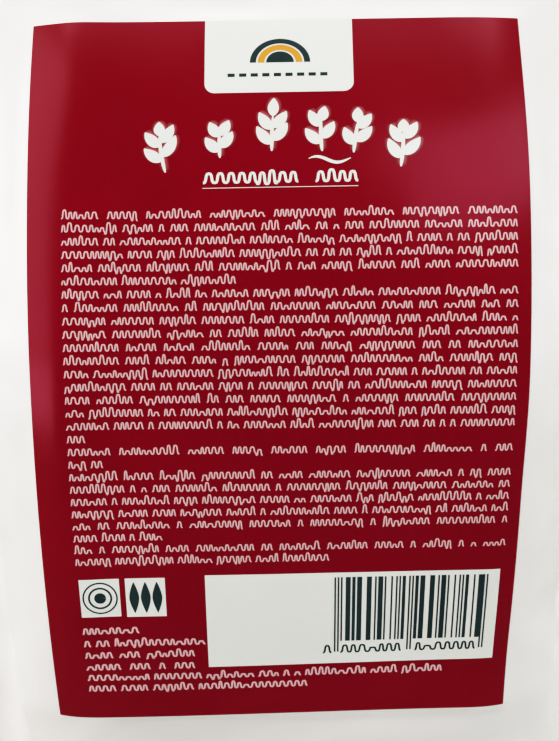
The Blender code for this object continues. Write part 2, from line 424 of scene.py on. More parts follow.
class NodeBoard:
    """A node tree with short ways to add nodes and join them."""

    def __init__(self, tree: bpy.types.NodeTree) -> None:
        """Start on a material's or a group's tree."""
        self.tree = tree

    def add(self, kind: str, **settings: object) -> bpy.types.Node:
        """Add a node.

        Args:
            kind: Its type, such as ShaderNodeMath.
            **settings: Its attributes.

        Returns:
            The node.
        """
        node = self.tree.nodes.new(kind)
        for name, value in settings.items():
            setattr(node, name, value)
        return node

    def join(self, output: Socket, entry: Socket) -> None:
        """Join an output to an input."""
        self.tree.links.new(output, entry)

    def feed(self, entry: Socket, value: Socket | float | tuple) -> None:
        """Give an input what it needs.

        Args:
            entry: The input.
            value: A socket to join to it, or a number or a colour to set on it.
        """
        if isinstance(value, Socket):
            self.join(value, entry)
        else:
            entry.default_value = value

    def math(self, operation: str, *values: Socket | float) -> Socket:
        """Add a Math node.

        Args:
            operation: What it does.
            *values: What its inputs get.

        Returns:
            Its output.
        """
        node = self.add("ShaderNodeMath", operation=operation)
        for entry, value in zip(node.inputs, values):
            self.feed(entry, value)
        return node.outputs[0]

    def mix(self, share: Socket, first: Socket | tuple, second: Socket | tuple) -> Socket:
        """Add a node that mixes two colours.

        Args:
            share: How much of the second one there is.
            first: A colour.
            second: Another colour.

        Returns:
            The mixed colour.
        """
        node = self.add("ShaderNodeMix", data_type="RGBA")
        self.join(share, node.inputs["Factor"])
        entries = [socket for socket in node.inputs if socket.type == "RGBA"]
        for entry, colour in zip(entries, (first, second)):
            self.feed(entry, colour)
        return next(socket for socket in node.outputs if socket.type == "RGBA")

    def noise(self, place: Socket, scale: Socket, detail: float, roughness: float = 0.5) -> Socket:
        """Add a noise texture.

        Args:
            place: Where on the surface it is read.
            scale: How fine it is.
            detail: How many finer layers it has.
            roughness: How strong they are.

        Returns:
            The noise, from 0 to 1.
        """
        node = self.add("ShaderNodeTexNoise", noise_dimensions="3D")
        node.inputs["Detail"].default_value = detail
        node.inputs["Roughness"].default_value = roughness
        self.join(place, node.inputs["Vector"])
        self.join(scale, node.inputs["Scale"])
        return node.outputs["Fac"]

    def read(self, attribute: str, output: str) -> Socket:
        """Read one of the mesh's own attributes."""
        return self.add("ShaderNodeAttribute", attribute_name=attribute).outputs[output]

    def place(self, group: bpy.types.NodeTree, **values: Socket | float | tuple) -> bpy.types.Node:
        """Place a node group.

        Args:
            group: The group.
            **values: What its inputs get: a socket, a number or a colour.

        Returns:
            The group node.
        """
        node = self.add("ShaderNodeGroup", node_tree=group)
        for name, value in values.items():
            self.feed(node.inputs[name], value)
        return node


def new_group(
    name: str, inputs: dict[str, str], outputs: dict[str, str],
) -> tuple[NodeBoard, bpy.types.Node, bpy.types.Node]:
    """Start a shader node group.

    Args:
        name: Its name.
        inputs: Its inputs, by name, with their socket types.
        outputs: Its outputs, by name, with their socket types.

    Returns:
        The group's board, its input node and its output node.
    """
    board = NodeBoard(bpy.data.node_groups.new(name, "ShaderNodeTree"))
    for way, sockets in (("INPUT", inputs), ("OUTPUT", outputs)):
        for socket, kind in sockets.items():
            board.tree.interface.new_socket(name=socket, in_out=way, socket_type=kind)
    return board, board.add("NodeGroupInput"), board.add("NodeGroupOutput")


FLOAT = "NodeSocketFloat"
COLOUR = "NodeSocketColor"
VECTOR = "NodeSocketVector"


@dataclass(frozen=True)
class SurfaceEffects:
    """The effects that the finishes share, each a node group built once."""

    grain_detail: float = 2.0
    tone_detail: float = 5.0
    tone_roughness: float = 0.62
    tone_from: float = 0.30
    tone_to: float = 0.70

    @cached_property
    def grain(self) -> bpy.types.NodeTree:
        """Build the fine pebbling of moulded film, with slower waves under it.

        Returns:
            The node group.
        """
        sizes = dict.fromkeys(("Grain Size", "Grain Depth", "Wave Size", "Wave Depth"), FLOAT)
        board, given, made = new_group(
            "film_grain", {"Place": VECTOR, **sizes}, {"Height": FLOAT, "Mask": FLOAT},
        )
        heights = []
        for label in ("Grain", "Wave"):
            scale = board.math("DIVIDE", 1.0, given.outputs[f"{label} Size"])
            waves = board.noise(given.outputs["Place"], scale, self.grain_detail)
            heights.append(board.math("MULTIPLY", waves, given.outputs[f"{label} Depth"]))
        board.join(board.math("ADD", *heights), made.inputs["Height"])
        board.join(waves, made.inputs["Mask"])
        return board.tree

    @cached_property
    def mottle(self) -> bpy.types.NodeTree:
        """Build the slow uneven tone of a print or a film, between two colours.

        Returns:
            The node group.
        """
        board, given, made = new_group(
            "tone_mottle",
            {"Place": VECTOR, "Light": COLOUR, "Deep": COLOUR, "Scale": FLOAT},
            {"Colour": COLOUR, "Mask": FLOAT},
        )
        clouds = board.noise(
            given.outputs["Place"], given.outputs["Scale"], self.tone_detail, self.tone_roughness,
        )
        spread = board.add("ShaderNodeMapRange", interpolation_type="SMOOTHSTEP")
        spread.inputs["From Min"].default_value = self.tone_from
        spread.inputs["From Max"].default_value = self.tone_to
        board.join(clouds, spread.inputs["Value"])
        mask = spread.outputs["Result"]
        colour = board.mix(mask, given.outputs["Deep"], given.outputs["Light"])
        board.join(colour, made.inputs["Colour"])
        board.join(mask, made.inputs["Mask"])
        return board.tree

    @cached_property
    def knurl(self) -> bpy.types.NodeTree:
        """Build the crossed fine ribs that heated jaws press into a seal.

        Returns:
            The node group.
        """
        board, given, made = new_group(
            "seal_knurl", {"Film Place": VECTOR, "Pitch": FLOAT, "Mask": FLOAT}, {"Height": FLOAT},
        )
        parts = board.add("ShaderNodeSeparateXYZ")
        board.join(given.outputs["Film Place"], parts.inputs[0])
        turns = board.math("DIVIDE", 2.0 * math.pi, given.outputs["Pitch"])
        waves = []
        for operation in ("ADD", "SUBTRACT"):
            slant = board.math(operation, parts.outputs["X"], parts.outputs["Y"])
            waves.append(board.math("SINE", board.math("MULTIPLY", slant, turns)))
        crossed = board.math("MAXIMUM", *waves)
        board.join(board.math("MULTIPLY", crossed, given.outputs["Mask"]), made.inputs["Height"])
        return board.tree


EFFECTS = SurfaceEffects()


@dataclass(frozen=True)
class SurfaceFinish:
    """A slightly uneven tone, with fine grain over slow waves."""

    light: Rgb
    deep: Rgb
    mottle_scale: float
    roughness_low: float
    roughness_high: float
    grain_size: float
    grain_depth: float
    wave_size: float
    wave_depth: float

    def build(self, name: str) -> bpy.types.Material:
        """Build the material.

        Args:
            name: Its name.

        Returns:
            The material.
        """
        material = bpy.data.materials.new(name)
        material.use_nodes = True
        board = NodeBoard(material.node_tree)
        shader = material.node_tree.nodes["Principled BSDF"]
        place = board.add("ShaderNodeTexCoord").outputs["Object"]
        tone = board.place(
            EFFECTS.mottle, Place=place, Light=(*self.light, 1.0), Deep=(*self.deep, 1.0),
            Scale=self.mottle_scale,
        )
        grain = board.place(EFFECTS.grain, **{
            "Place": place, "Grain Size": self.grain_size, "Grain Depth": self.grain_depth,
            "Wave Size": self.wave_size, "Wave Depth": self.wave_depth,
        })
        bump = board.add("ShaderNodeBump")
        bump.inputs["Distance"].default_value = 1.0
        board.join(self.relief(board, grain.outputs["Height"]), bump.inputs["Height"])
        sheen = board.add("ShaderNodeMapRange")
        sheen.inputs["To Min"].default_value = self.roughness_low
        sheen.inputs["To Max"].default_value = self.roughness_high
        board.join(grain.outputs["Mask"], sheen.inputs["Value"])
        board.join(self.paint(board, tone.outputs["Colour"]), shader.inputs["Base Color"])
        board.join(sheen.outputs["Result"], shader.inputs["Roughness"])
        board.join(bump.outputs["Normal"], shader.inputs["Normal"])
        self.polish(shader)
        return material

    def relief(self, board: NodeBoard, grain: Socket) -> Socket:
        """Give the surface's height, which is its grain if nothing is added to it."""
        return grain

    def paint(self, board: NodeBoard, tone: Socket) -> Socket:
        """Give the surface's colour, which is its tone if nothing is done to it."""
        return tone

    def polish(self, shader: bpy.types.Node) -> None:
        """Set the surface's gloss, which each kind of finish does in its own way."""
        raise NotImplementedError


@dataclass(frozen=True)
class FilmFinish(SurfaceFinish):
    """White laminated film: satin, faintly pebbled, knurled where it is sealed."""

    light: Rgb = (0.90, 0.885, 0.865)
    deep: Rgb = (0.865, 0.85, 0.828)
    mottle_scale: float = 9.0
    roughness_low: float = 0.40
    roughness_high: float = 0.52
    grain_size: float = 0.0011
    grain_depth: float = 0.000012
    wave_size: float = 0.009
    wave_depth: float = 0.00006
    knurl_pitch: float = 0.0011
    knurl_depth: float = 0.00007
    coat: float = 0.10
    coat_roughness: float = 0.28

    def relief(self, board: NodeBoard, grain: Socket) -> Socket:
        """Add the ribs of the seals to the grain.

        Args:
            board: The material's board.
            grain: The grain's height.

        Returns:
            The height of both.
        """
        knurl = board.place(EFFECTS.knurl, **{
            "Film Place": board.read("film_place", "Vector"), "Pitch": self.knurl_pitch,
            "Mask": board.read("sealed", "Fac"),
        })
        ribs = board.math("MULTIPLY", knurl.outputs["Height"], self.knurl_depth)
        return board.math("ADD", grain, ribs)

    def polish(self, shader: bpy.types.Node) -> None:
        """Put a thin soft coat on the film."""
        shader.inputs["Coat Weight"].default_value = self.coat
        shader.inputs["Coat Roughness"].default_value = self.coat_roughness


@dataclass(frozen=True)
class LaminateFinish(SurfaceFinish):
    """Print under a clear gloss laminate: the label and every mark on it."""

    mottle_scale: float = 22.0
    roughness_low: float = 0.17
    roughness_high: float = 0.23
    grain_size: float = 0.0009
    grain_depth: float = 0.000004
    wave_size: float = 0.011
    wave_depth: float = 0.00004
    gloss_level: float = 0.65
    gloss_tint: Rgb = (1.0, 1.0, 1.0)
    fade_to: Rgb | None = None

    def paint(self, board: NodeBoard, tone: Socket) -> Socket:
        """Fade the ink out to another colour by the mesh's own fade values, if it has one.

        Args:
            board: The material's board.
            tone: The ink's tone.

        Returns:
            The ink's colour.
        """
        if self.fade_to is None:
            return tone
        return board.mix(board.read("fade", "Fac"), tone, (*self.fade_to, 1.0))

    def polish(self, shader: bpy.types.Node) -> None:
        """Give the laminate its gloss."""
        shader.inputs["Specular IOR Level"].default_value = self.gloss_level
        shader.inputs["Specular Tint"].default_value = (*self.gloss_tint, 1.0)


BURGUNDY_DEEP = (0.222, 0.0009, 0.0085)
BURGUNDY = LaminateFinish((0.246, 0.0012, 0.0105), BURGUNDY_DEEP, gloss_tint=(1.0, 0.24, 0.45))
WHITE_INK = LaminateFinish((0.88, 0.89, 0.85), (0.84, 0.85, 0.81))
DARK_INK = LaminateFinish((0.022, 0.058, 0.060), (0.012, 0.030, 0.033))
AMBER_INK = LaminateFinish((0.80, 0.42, 0.05), (0.70, 0.32, 0.03))
PINK_INK = LaminateFinish((0.82, 0.54, 0.55), (0.76, 0.47, 0.49))
HALO_INK = LaminateFinish((0.55, 0.16, 0.18), (0.50, 0.13, 0.15), fade_to=BURGUNDY_DEEP)


# ---------------------------------------------------------------- the pouch


@dataclass(frozen=True)
class Crease:
    """A soft ridge, or a hollow if its height is negative, on a film."""

    across: float
    up: float
    half_length: float
    half_width: float
    turn: float
    height: float

    def lift(self, across: np.ndarray, up: np.ndarray) -> np.ndarray:
        """Give how far the film stands out.

        Args:
            across: Places across the film.
            up: Places up the film.

        Returns:
            The lift at each place.
        """
        turn = math.radians(self.turn)
        sideways, upward = across - self.across, up - self.up
        along = sideways * math.sin(turn) + upward * math.cos(turn)
        aside = sideways * math.cos(turn) - upward * math.sin(turn)
        return self.height * plateau(along, self.half_length) / np.cosh(aside / self.half_width)


@dataclass
class FilmSkin:
    """A grid of points and normals on one face of the film or the label."""

    across: np.ndarray
    up: np.ndarray
    points: np.ndarray
    normals: np.ndarray

    def place(self, across: np.ndarray, up: np.ndarray, lift: Values) -> Pair:
        """Find points on the skin.

        Args:
            across: Their places across the film.
            up: Their places up the film.
            lift: How far off the skin they stand.

        Returns:
            The points and the normals there.
        """
        column, right = self.between(self.across, across)
        row, above = self.between(self.up, up)
        found = []
        for grid in (self.points, self.normals):
            low = grid[row, column] * (1 - right) + grid[row, column + 1] * right
            high = grid[row + 1, column] * (1 - right) + grid[row + 1, column + 1] * right
            found.append(low * (1 - above) + high * above)
        points, normals = found
        normals = normals / np.linalg.norm(normals, axis=-1, keepdims=True)
        return points + normals * np.reshape(lift, (-1, 1)), normals

    @staticmethod
    def between(knots: np.ndarray, places: np.ndarray) -> Pair:
        """Find where places lie between knots.

        Args:
            knots: The knots, in order.
            places: The places.

        Returns:
            The knot below each place, and the share of the way to the next.
        """
        index = np.clip(np.searchsorted(knots, places, side="right") - 1, 0, len(knots) - 2)
        share = (places - knots[index]) / (knots[index + 1] - knots[index])
        return index, np.clip(share, 0.0, 1.0)[:, None]


@dataclass(frozen=True)
class LabelPlace:
    """Where the label lies on the front film."""

    width: float = 0.100
    height: float = 0.150
    bottom: float = 0.042
    outer_lift: float = 0.00055
    thickness: float = 0.00011
    edge_blend: float = 0.003

    @property
    def half(self) -> float:
        """Half the label's width."""
        return self.width / 2

    @property
    def top(self) -> float:
        """Where its top edge is, up the film."""
        return self.bottom + self.height

    def inside(self, across: np.ndarray, up: np.ndarray) -> np.ndarray:
        """Mark the film under the label.

        Args:
            across: Places across the film.
            up: Places up the film.

        Returns:
            1 under the label, falling smoothly to 0 around it.
        """
        sideways = 1.0 - smooth_step(self.half, self.half + self.edge_blend, abs(across))
        below = smooth_step(self.bottom - self.edge_blend, self.bottom, up)
        above = 1.0 - smooth_step(self.top, self.top + self.edge_blend, up)
        return sideways * below * above


@dataclass
class FilmSimulation:
    """The empty bag's film blown up round its contents, as cloth that keeps its flat size."""

    form: FilmForm
    label: LabelPlace
    step: float = 0.0025
    fin_columns: int = 3
    header_from: float = 0.2865
    unevenness: float = 0.0003
    frames: int = 30
    quality: int = 8
    mass: float = 0.02
    air_damping: float = 4.0
    stretch: float = 80.0
    shear: float = 60.0
    bend: float = 0.005
    stretch_damping: float = 10.0
    bend_damping: float = 0.5
    pin_stiffness: float = 5.0
    pressure: float = 2.0
    flat_gap: float = 0.0003
    header_held: Couple = (0.246, 0.252)
    label_margin: Couple = (0.0005, 0.005)
    seal_share: float = 0.8
    seal_margin: float = 0.004
    fin_from: float = 0.090
    fin_hold: float = 0.35
    bumps_from: float = 0.01
    bumps_to: Couple = (0.245, 0.256)
    bump_layers: tuple[Triple, ...] = ((0.025, 1.0, 7.3), (0.009, 0.5, 3.1))
    spare_frames: int = 5

    def __post_init__(self) -> None:
        """Work out the grid that both films share."""
        inner, edge = self.form.seal_inner, self.form.bag_width / 2
        steps = (self.fin_columns, round(2 * inner / self.step), self.fin_columns)
        self.across = stations((-edge, -inner, inner, edge), steps)
        height = self.form.bag_height
        self.up = stations((0.0, height), (round(height / self.step),))
        fins = abs(self.across) > inner - 1e-9
        self.shared = fins[None, :] | (self.up > self.header_from)[:, None]

    def start(self, side: Side) -> np.ndarray:
        """Place the film before it is blown up, welded where it is sealed.

        Args:
            side: Which film.

        Returns:
            Its points, by row, column and axis.
        """
        points = self.form.points(self.across, self.up, side)
        points[..., 1] = np.where(self.shared, 0.0, points[..., 1])
        return points

    def bumps(self, side: Side) -> np.ndarray:
        """Make the film slightly uneven at the start, so that it buckles as film does.

        Args:
            side: Which film.

        Returns:
            How far back each point is moved, by row and column.
        """
        uneven = layered_noise(self.across, self.up, self.bump_layers, side)
        loose = 1.0 - smooth_step(*self.bumps_to, self.up)[:, None]
        return uneven * self.unevenness * loose * (self.up > self.bumps_from)[:, None]

    def pins(self, side: Side) -> np.ndarray:
        """Say how firmly the header, the label and the base seals are held.

        Args:
            side: Which film.

        Returns:
            The hold on each point, from 0 to 1, by row and column.
        """
        across, up = np.meshgrid(self.across, self.up)
        held = smooth_step(*self.header_held, up)
        if side is Side.FRONT:
            near, far = self.label_margin
            beside = 1.0 - smooth_step(self.label.half + near, self.label.half + far, abs(across))
            below = smooth_step(self.label.bottom - far, self.label.bottom - near, up)
            above = 1.0 - smooth_step(self.label.top + near, self.label.top + far, up)
            held = np.maximum(held, beside * below * above)
        seal = self.form.seal_line(across)
        based = 1.0 - smooth_step(self.seal_share * seal, seal + self.seal_margin, up)
        return np.maximum(held, based * np.where(abs(across) < self.fin_from, 1.0, self.fin_hold))

    def blow_up(self) -> dict[Side, np.ndarray]:
        """Run the simulation.

        Returns:
            How far each film's points moved, by row, column and axis.
        """
        shape = self.shared.shape
        numbers = {Side.FRONT: np.arange(self.shared.size).reshape(shape)}
        own = ~self.shared
        back = numbers[Side.FRONT].copy()
        back[own] = self.shared.size + np.arange(own.sum())
        numbers[Side.BACK] = back
        starts = {side: self.start(side) for side in Side}
        total = int(self.shared.size + own.sum())
        points, flat = np.zeros((total, 3)), np.zeros((total, 3))
        held = np.zeros(total)
        for side in Side:
            bumped = starts[side].copy()
            bumped[..., 1] += self.bumps(side)
            points[numbers[side]] = bumped
            laid = np.zeros(shape + (3,))
            laid[..., 0], laid[..., 2] = np.meshgrid(self.across, self.up)
            laid[..., 1] = np.where(self.shared, 0.0, side.value * self.flat_gap)
            flat[numbers[side]] = laid
            held[numbers[side]] = np.maximum(held[numbers[side]], self.pins(side))
        moved = self.simulate(points, flat, held, self.faces(numbers))
        return {side: moved[numbers[side]] - starts[side] for side in Side}

    def faces(self, numbers: dict[Side, np.ndarray]) -> Faces:
        """List the bag's faces, once each where the films are welded.

        Args:
            numbers: Each film's grid of vertex numbers.

        Returns:
            The faces.
        """
        faces, seen = [], set()
        for side, grid in numbers.items():
            for corners in grid_faces(*grid.shape):
                face = [int(grid.flat[corner]) for corner in corners]
                key = tuple(sorted(face))
                if key not in seen:
                    seen.add(key)
                    faces.append(face if side is Side.FRONT else face[::-1])
        return faces

    def make_cloth(self, bag: bpy.types.Object, empty_bag: bpy.types.ShapeKey, pins: str) -> None:
        """Make the bag's film behave as cloth under pressure.

        Args:
            bag: The bag.
            empty_bag: Its shape when it lies flat, whose sizes the film keeps.
            pins: The vertex group that says how firmly each point is held.
        """
        cloth = bag.modifiers.new("film", "CLOTH")
        settings = cloth.settings
        settings.quality = self.quality
        settings.mass = self.mass
        settings.air_damping = self.air_damping
        settings.tension_stiffness = settings.compression_stiffness = self.stretch
        settings.shear_stiffness = self.shear
        settings.bending_stiffness = self.bend
        settings.tension_damping = settings.compression_damping = self.stretch_damping
        settings.shear_damping = self.stretch_damping
        settings.bending_damping = self.bend_damping
        settings.vertex_group_mass = pins
        settings.pin_stiffness = self.pin_stiffness
        settings.use_pressure = True
        settings.uniform_pressure_force = self.pressure
        settings.rest_shape_key = empty_bag
        settings.effector_weights.gravity = 0.0
        cloth.collision_settings.use_collision = False
        cloth.collision_settings.use_self_collision = False
        cloth.point_cache.frame_start = 1
        cloth.point_cache.frame_end = self.frames + self.spare_frames

    def simulate(
        self, points: np.ndarray, flat: np.ndarray, held: np.ndarray, faces: Faces,
    ) -> np.ndarray:
        """Blow the bag up with Blender's cloth and read where its points end.

        Args:
            points: The starting points.
            flat: The same points on the flat, empty bag.
            held: How firmly each is held.
            faces: The bag's faces.

        Returns:
            The points at the end.
        """
        mesh = bpy.data.meshes.new("film_in_work")
        mesh.from_pydata([tuple(point) for point in points], [], faces)
        bag = bpy.data.objects.new("film_in_work", mesh)
        bpy.context.scene.collection.objects.link(bag)
        bag.shape_key_add(name="Basis")
        empty_bag = bag.shape_key_add(name="flat")
        empty_bag.data.foreach_set("co", flat.ravel())
        empty_bag.value = 0.0
        pins = bag.vertex_groups.new(name="held")
        for index, weight in enumerate(held):
            pins.add([index], float(np.clip(weight, 0.0, 1.0)), "REPLACE")
        self.make_cloth(bag, empty_bag, pins.name)
        scene = bpy.context.scene
        scene.frame_start, scene.frame_end = 1, self.frames + self.spare_frames
        for number in range(1, self.frames + 1):
            scene.frame_set(number)
        shown = bag.evaluated_get(bpy.context.evaluated_depsgraph_get()).to_mesh()
        moved = np.empty(len(shown.vertices) * 3)
        shown.vertices.foreach_get("co", moved)
        bpy.data.objects.remove(bag, do_unlink=True)
        bpy.data.meshes.remove(mesh)
        scene.frame_set(1)
        LOG.info("film simulation: %d points", len(points))
        return moved.reshape(-1, 3)


@dataclass
class PouchFilm:
    """The bag itself: two films, side and top seals, the zip and the gusset."""

    form: FilmForm
    label: LabelPlace
    zip_bottom: float = 0.254
    zip_top: float = 0.266
    zip_flange: float = 0.00022
    zip_tracks: Couple = (0.2578, 0.2622)
    zip_track_half: float = 0.0008
    zip_track_rise: float = 0.0007
    top_seal_bottom: float = 0.286
    lump_rise: float = 0.00050
    lump_layers: tuple[Triple, ...] = ((0.021, 1.0, 11.0), (0.0105, 0.45, 23.0))
    lumps_to: Couple = (0.205, 0.245)
    pucker_rise: float = 0.00104
    pucker_layers: tuple[Triple, ...] = ((0.0085, 1.0, 31.0),)
    pucker_stretch: float = 0.25
    pucker_reach: float = 0.009
    pucker_end: float = 0.001
    crease_end: float = 0.006
    slack_from: float = 0.012
    slack_to: Couple = (0.235, 0.250)
    seal_press: float = 0.00010
    seal_soft: float = 0.0004
    base_soft: float = 0.0006
    base_ribs: float = 0.25
    least_half: float = 0.00013
    zip_soft: float = 0.0004
    zip_crush: float = 0.005
    header_bow: float = 0.0016
    bow_from: Couple = (0.236, 0.285)
    fin_wave: float = 0.0007
    fin_turns: float = 95.0
    fin_shift: float = 1.3
    fin_inner: Couple = (0.080, 0.094)
    fin_foot: Couple = (0.004, 0.030)
    fin_head: Couple = (0.262, 0.290)
    skirt_thickness: float = 0.0004
    skirt_room: float = 0.8
    skirt_rows: int = 4
    base_flat_share: float = 0.60
    base_rows_each: int = 15
    base_rows_from: float = 0.94
    fold_groove: float = 0.0008
    groove_sharpness: float = 26.0
    weld_reach: float = 0.00001
    column_margins: Couple = (0.0004, 0.0006)
    column_slack: float = 0.0001
    column_steps: tuple[int, ...] = (5, 2, 128, 2, 5)
    zip_rows: Couple = (0.252, 0.268)
    corner_rows: Couple = (0.006, 0.294)
    notch_margin: float = 0.0024
    row_steps: tuple[int, ...] = (8, 190, 40, 6, 12, 12, 9)
    creases: tuple[Crease, ...] = (
        Crease(-0.0570, 0.1500, 0.060, 0.0030, 0.0, -0.00025),
        Crease(0.0600, 0.0900, 0.050, 0.0030, -4.0, -0.00025),
        Crease(0.0100, 0.2030, 0.030, 0.0035, 86.0, -0.00030),
        Crease(-0.0280, 0.2080, 0.024, 0.0030, 84.0, 0.00040),
        Crease(0.0420, 0.2060, 0.022, 0.0030, 100.0, 0.00045),
        Crease(-0.0425, 0.0280, 0.020, 0.0040, 0.0, 0.00110),
        Crease(-0.0250, 0.0270, 0.018, 0.0110, 4.0, -0.00135),
        Crease(0.0100, 0.0280, 0.050, 0.0060, 90.0, -0.00110),
    )
    side_creases: tuple[Crease, ...] = (
        Crease(-0.0700, 0.2210, 0.024, 0.0036, -40.0, -0.00110),
        Crease(-0.0570, 0.2320, 0.018, 0.0030, -56.0, 0.00080),
        Crease(-0.0800, 0.1980, 0.022, 0.0036, -22.0, 0.00090),
        Crease(-0.0790, 0.1650, 0.020, 0.0032, -10.0, -0.00070),
        Crease(0.0720, 0.2180, 0.026, 0.0038, 42.0, -0.00110),
        Crease(0.0600, 0.2300, 0.018, 0.0030, 58.0, 0.00080),
        Crease(0.0810, 0.1930, 0.022, 0.0036, 20.0, 0.00090),
        Crease(0.0780, 0.1560, 0.022, 0.0034, 8.0, -0.00070),
        Crease(-0.0740, 0.0520, 0.020, 0.0036, 40.0, -0.00080),
        Crease(-0.0660, 0.0360, 0.016, 0.0032, 52.0, 0.00060),
        Crease(0.0740, 0.0500, 0.020, 0.0036, -42.0, -0.00080),
        Crease(0.0650, 0.0370, 0.016, 0.0032, -54.0, 0.00060),
    )
    shared_fade: Couple = (0.064, 0.086)
    shared_creases: tuple[Crease, ...] = (
        Crease(-0.0422, 0.1000, 0.0464, 0.0042, 0.6, 0.00060),
        Crease(-0.0412, 0.1789, 0.0464, 0.0042, 0.6, 0.00040),
        Crease(0.0460, 0.0760, 0.0350, 0.0200, 0.0, -0.00090),
        Crease(-0.0445, 0.1130, 0.030, 0.0014, 2.0, 0.00006),
        Crease(0.0250, 0.1440, 0.012, 0.0030, 12.0, 0.00007),
        Crease(0.0330, 0.1050, 0.012, 0.0040, 24.0, 0.00008),
        Crease(0.0430, 0.1310, 0.006, 0.0030, 30.0, 0.00006),
        Crease(-0.0150, 0.1250, 0.040, 0.0080, -8.0, -0.00010),
        Crease(0.0120, 0.0800, 0.030, 0.0080, 10.0, -0.00010),
    )

    def __post_init__(self) -> None:
        """Lay out the rows and columns of the film's grid."""
        inner, edge = self.form.seal_inner, self.form.bag_width / 2
        outside, inside = inner + self.column_margins[0], inner - self.column_margins[1]
        self.across = stations(
            (-edge, -outside, -inside, inside, outside, edge), self.column_steps,
        )
        notch, margin = self.form.notch_up, self.notch_margin
        (start, end), (low, high) = self.zip_rows, self.corner_rows
        self.up = stations(
            (0.0, low, start, end, notch - margin, notch + margin, high, self.form.bag_height),
            self.row_steps,
        )
        self.skins: dict[Side, FilmSkin] = {}

    def settle(self) -> dict[Side, np.ndarray]:
        """Work out how the film has moved from its plain form.

        Returns:
            The moves on the fine grid, by side.
        """
        work = FilmSimulation(self.form, self.label)
        rows = spline_weights(work.up, self.up)
        columns = spline_weights(work.across, self.across)
        return {
            side: np.einsum("ri,ijk,cj->rck", rows, moves, columns)
            for side, moves in work.blow_up().items()
        }

    def zip_lift(self) -> np.ndarray:
        """Work out how far the zip pushes the film out.

        Returns:
            The lift, by row and column.
        """
        up = self.up[:, None]
        soft = self.zip_soft
        within = smooth_step(self.zip_bottom - soft, self.zip_bottom + soft, up)
        within = within * (1.0 - smooth_step(self.zip_top - soft, self.zip_top + soft, up))
        rise = self.zip_flange * within
        for track in self.zip_tracks:
            beyond = np.clip(1.0 - ((up - track) / self.zip_track_half) ** 2, 0.0, 1.0)
            rise = rise + self.zip_track_rise * np.sqrt(beyond)
        inner = self.form.seal_inner
        return rise * (1.0 - smooth_step(inner - self.zip_crush, inner, abs(self.across)))[None, :]

    def sealed(self, across: np.ndarray, up: np.ndarray) -> np.ndarray:
        """Mark the seals, whose ribs are fainter at the base.

        Args:
            across: Places across the film.
            up: Places up the film.

        Returns:
            1 in the side and top seals, less in the base's, and 0 elsewhere.
        """
        edge, soft = self.form.seal_inner, self.seal_soft
        sides = smooth_step(edge - soft, edge + soft, abs(across))
        top = smooth_step(self.top_seal_bottom - soft, self.top_seal_bottom + soft, up)
        line = self.form.seal_line(across)
        base = 1.0 - smooth_step(line - self.base_soft, line + self.base_soft, up)
        return np.maximum(np.maximum(sides, top), self.base_ribs * base)

    def slack_lift(self, side: Side) -> np.ndarray:
        """Work out the lumps of the contents, and the puckers and creases by the seals.

        Args:
            side: Which film.

        Returns:
            The lift, by row and column.
        """
        across, up = np.meshgrid(self.across, self.up)
        lumps = layered_noise(self.across, self.up, self.lump_layers, side)
        filled = 1.0 - smooth_step(*self.lumps_to, up)
        from_seal = self.form.seal_inner - abs(across)
        drawn = layered_noise(self.across * self.pucker_stretch, self.up, self.pucker_layers, side)
        drawn = drawn * np.exp(-np.clip(from_seal, 0.0, 1.0) / self.pucker_reach)
        drawn = drawn * smooth_step(0.0, self.pucker_end, from_seal)
        below_zip = 1.0 - smooth_step(*self.slack_to, up)
        creased = sum(crease.lift(across * side.value, up) for crease in self.side_creases)
        creased = creased * smooth_step(0.0, self.crease_end, from_seal)
        above_base = smooth_step(0.0, self.slack_from, up - self.form.seal_line(across))
        lift = self.lump_rise * lumps * filled + self.pucker_rise * drawn * below_zip
        return (lift + creased * below_zip) * above_base

    def shared_lift(self, across: np.ndarray, up: np.ndarray) -> np.ndarray:
        """Give the relief of both label and film, which fades before the side seals."""
        fade = 1.0 - smooth_step(*self.shared_fade, abs(across))
        return fade * sum(crease.lift(across, up) for crease in self.shared_creases)

    def bend_header(self, points: np.ndarray) -> np.ndarray:
        """Bow the stiff header a little and let the fins wave.

        Args:
            points: A film's points, which are moved.

        Returns:
            The same points.
        """
        across, up = np.meshgrid(self.across, self.up)
        middle = 1.0 - (across / (self.form.bag_width / 2)) ** 2
        bow = self.header_bow * smooth_step(*self.bow_from, up) * middle
        fin = smooth_step(*self.fin_inner, abs(across)) * np.sign(across)
        wave = self.fin_wave * np.sin(up * self.fin_turns + self.fin_shift * np.sign(across)) * fin
        wave = wave * smooth_step(*self.fin_foot, up) * (1.0 - smooth_step(*self.fin_head, up))
        points[..., 1] += -bow + wave
        return points

    def shape(self) -> None:
        """Work out both films' skins."""
        across, up = np.meshgrid(self.across, self.up)
        moves = self.settle()
        films: dict[Side, np.ndarray] = {}
        for side in Side:
            plain = self.form.points(self.across, self.up, side)
            points = plain + moves[side]
            pressed = self.seal_press * self.sealed(across, up)
            loose = self.zip_lift() - pressed + self.slack_lift(side)
            if side is Side.FRONT:
                loose = loose + sum(crease.lift(across, up) for crease in self.creases)
                under = self.label.inside(across, up)
                stuck = self.label.outer_lift - self.label.thickness
                points = plain + moves[side] * (1.0 - under)[..., None]
                loose = loose * (1.0 - under) + stuck * under + self.shared_lift(across, up)
            points = points + grid_normals(points, side) * loose[..., None]
            films[side] = self.bend_header(points)
        self.keep_apart(films[Side.FRONT], films[Side.BACK])
        for side, points in films.items():
            self.skins[side] = FilmSkin(self.across, self.up, points, grid_normals(points, side))

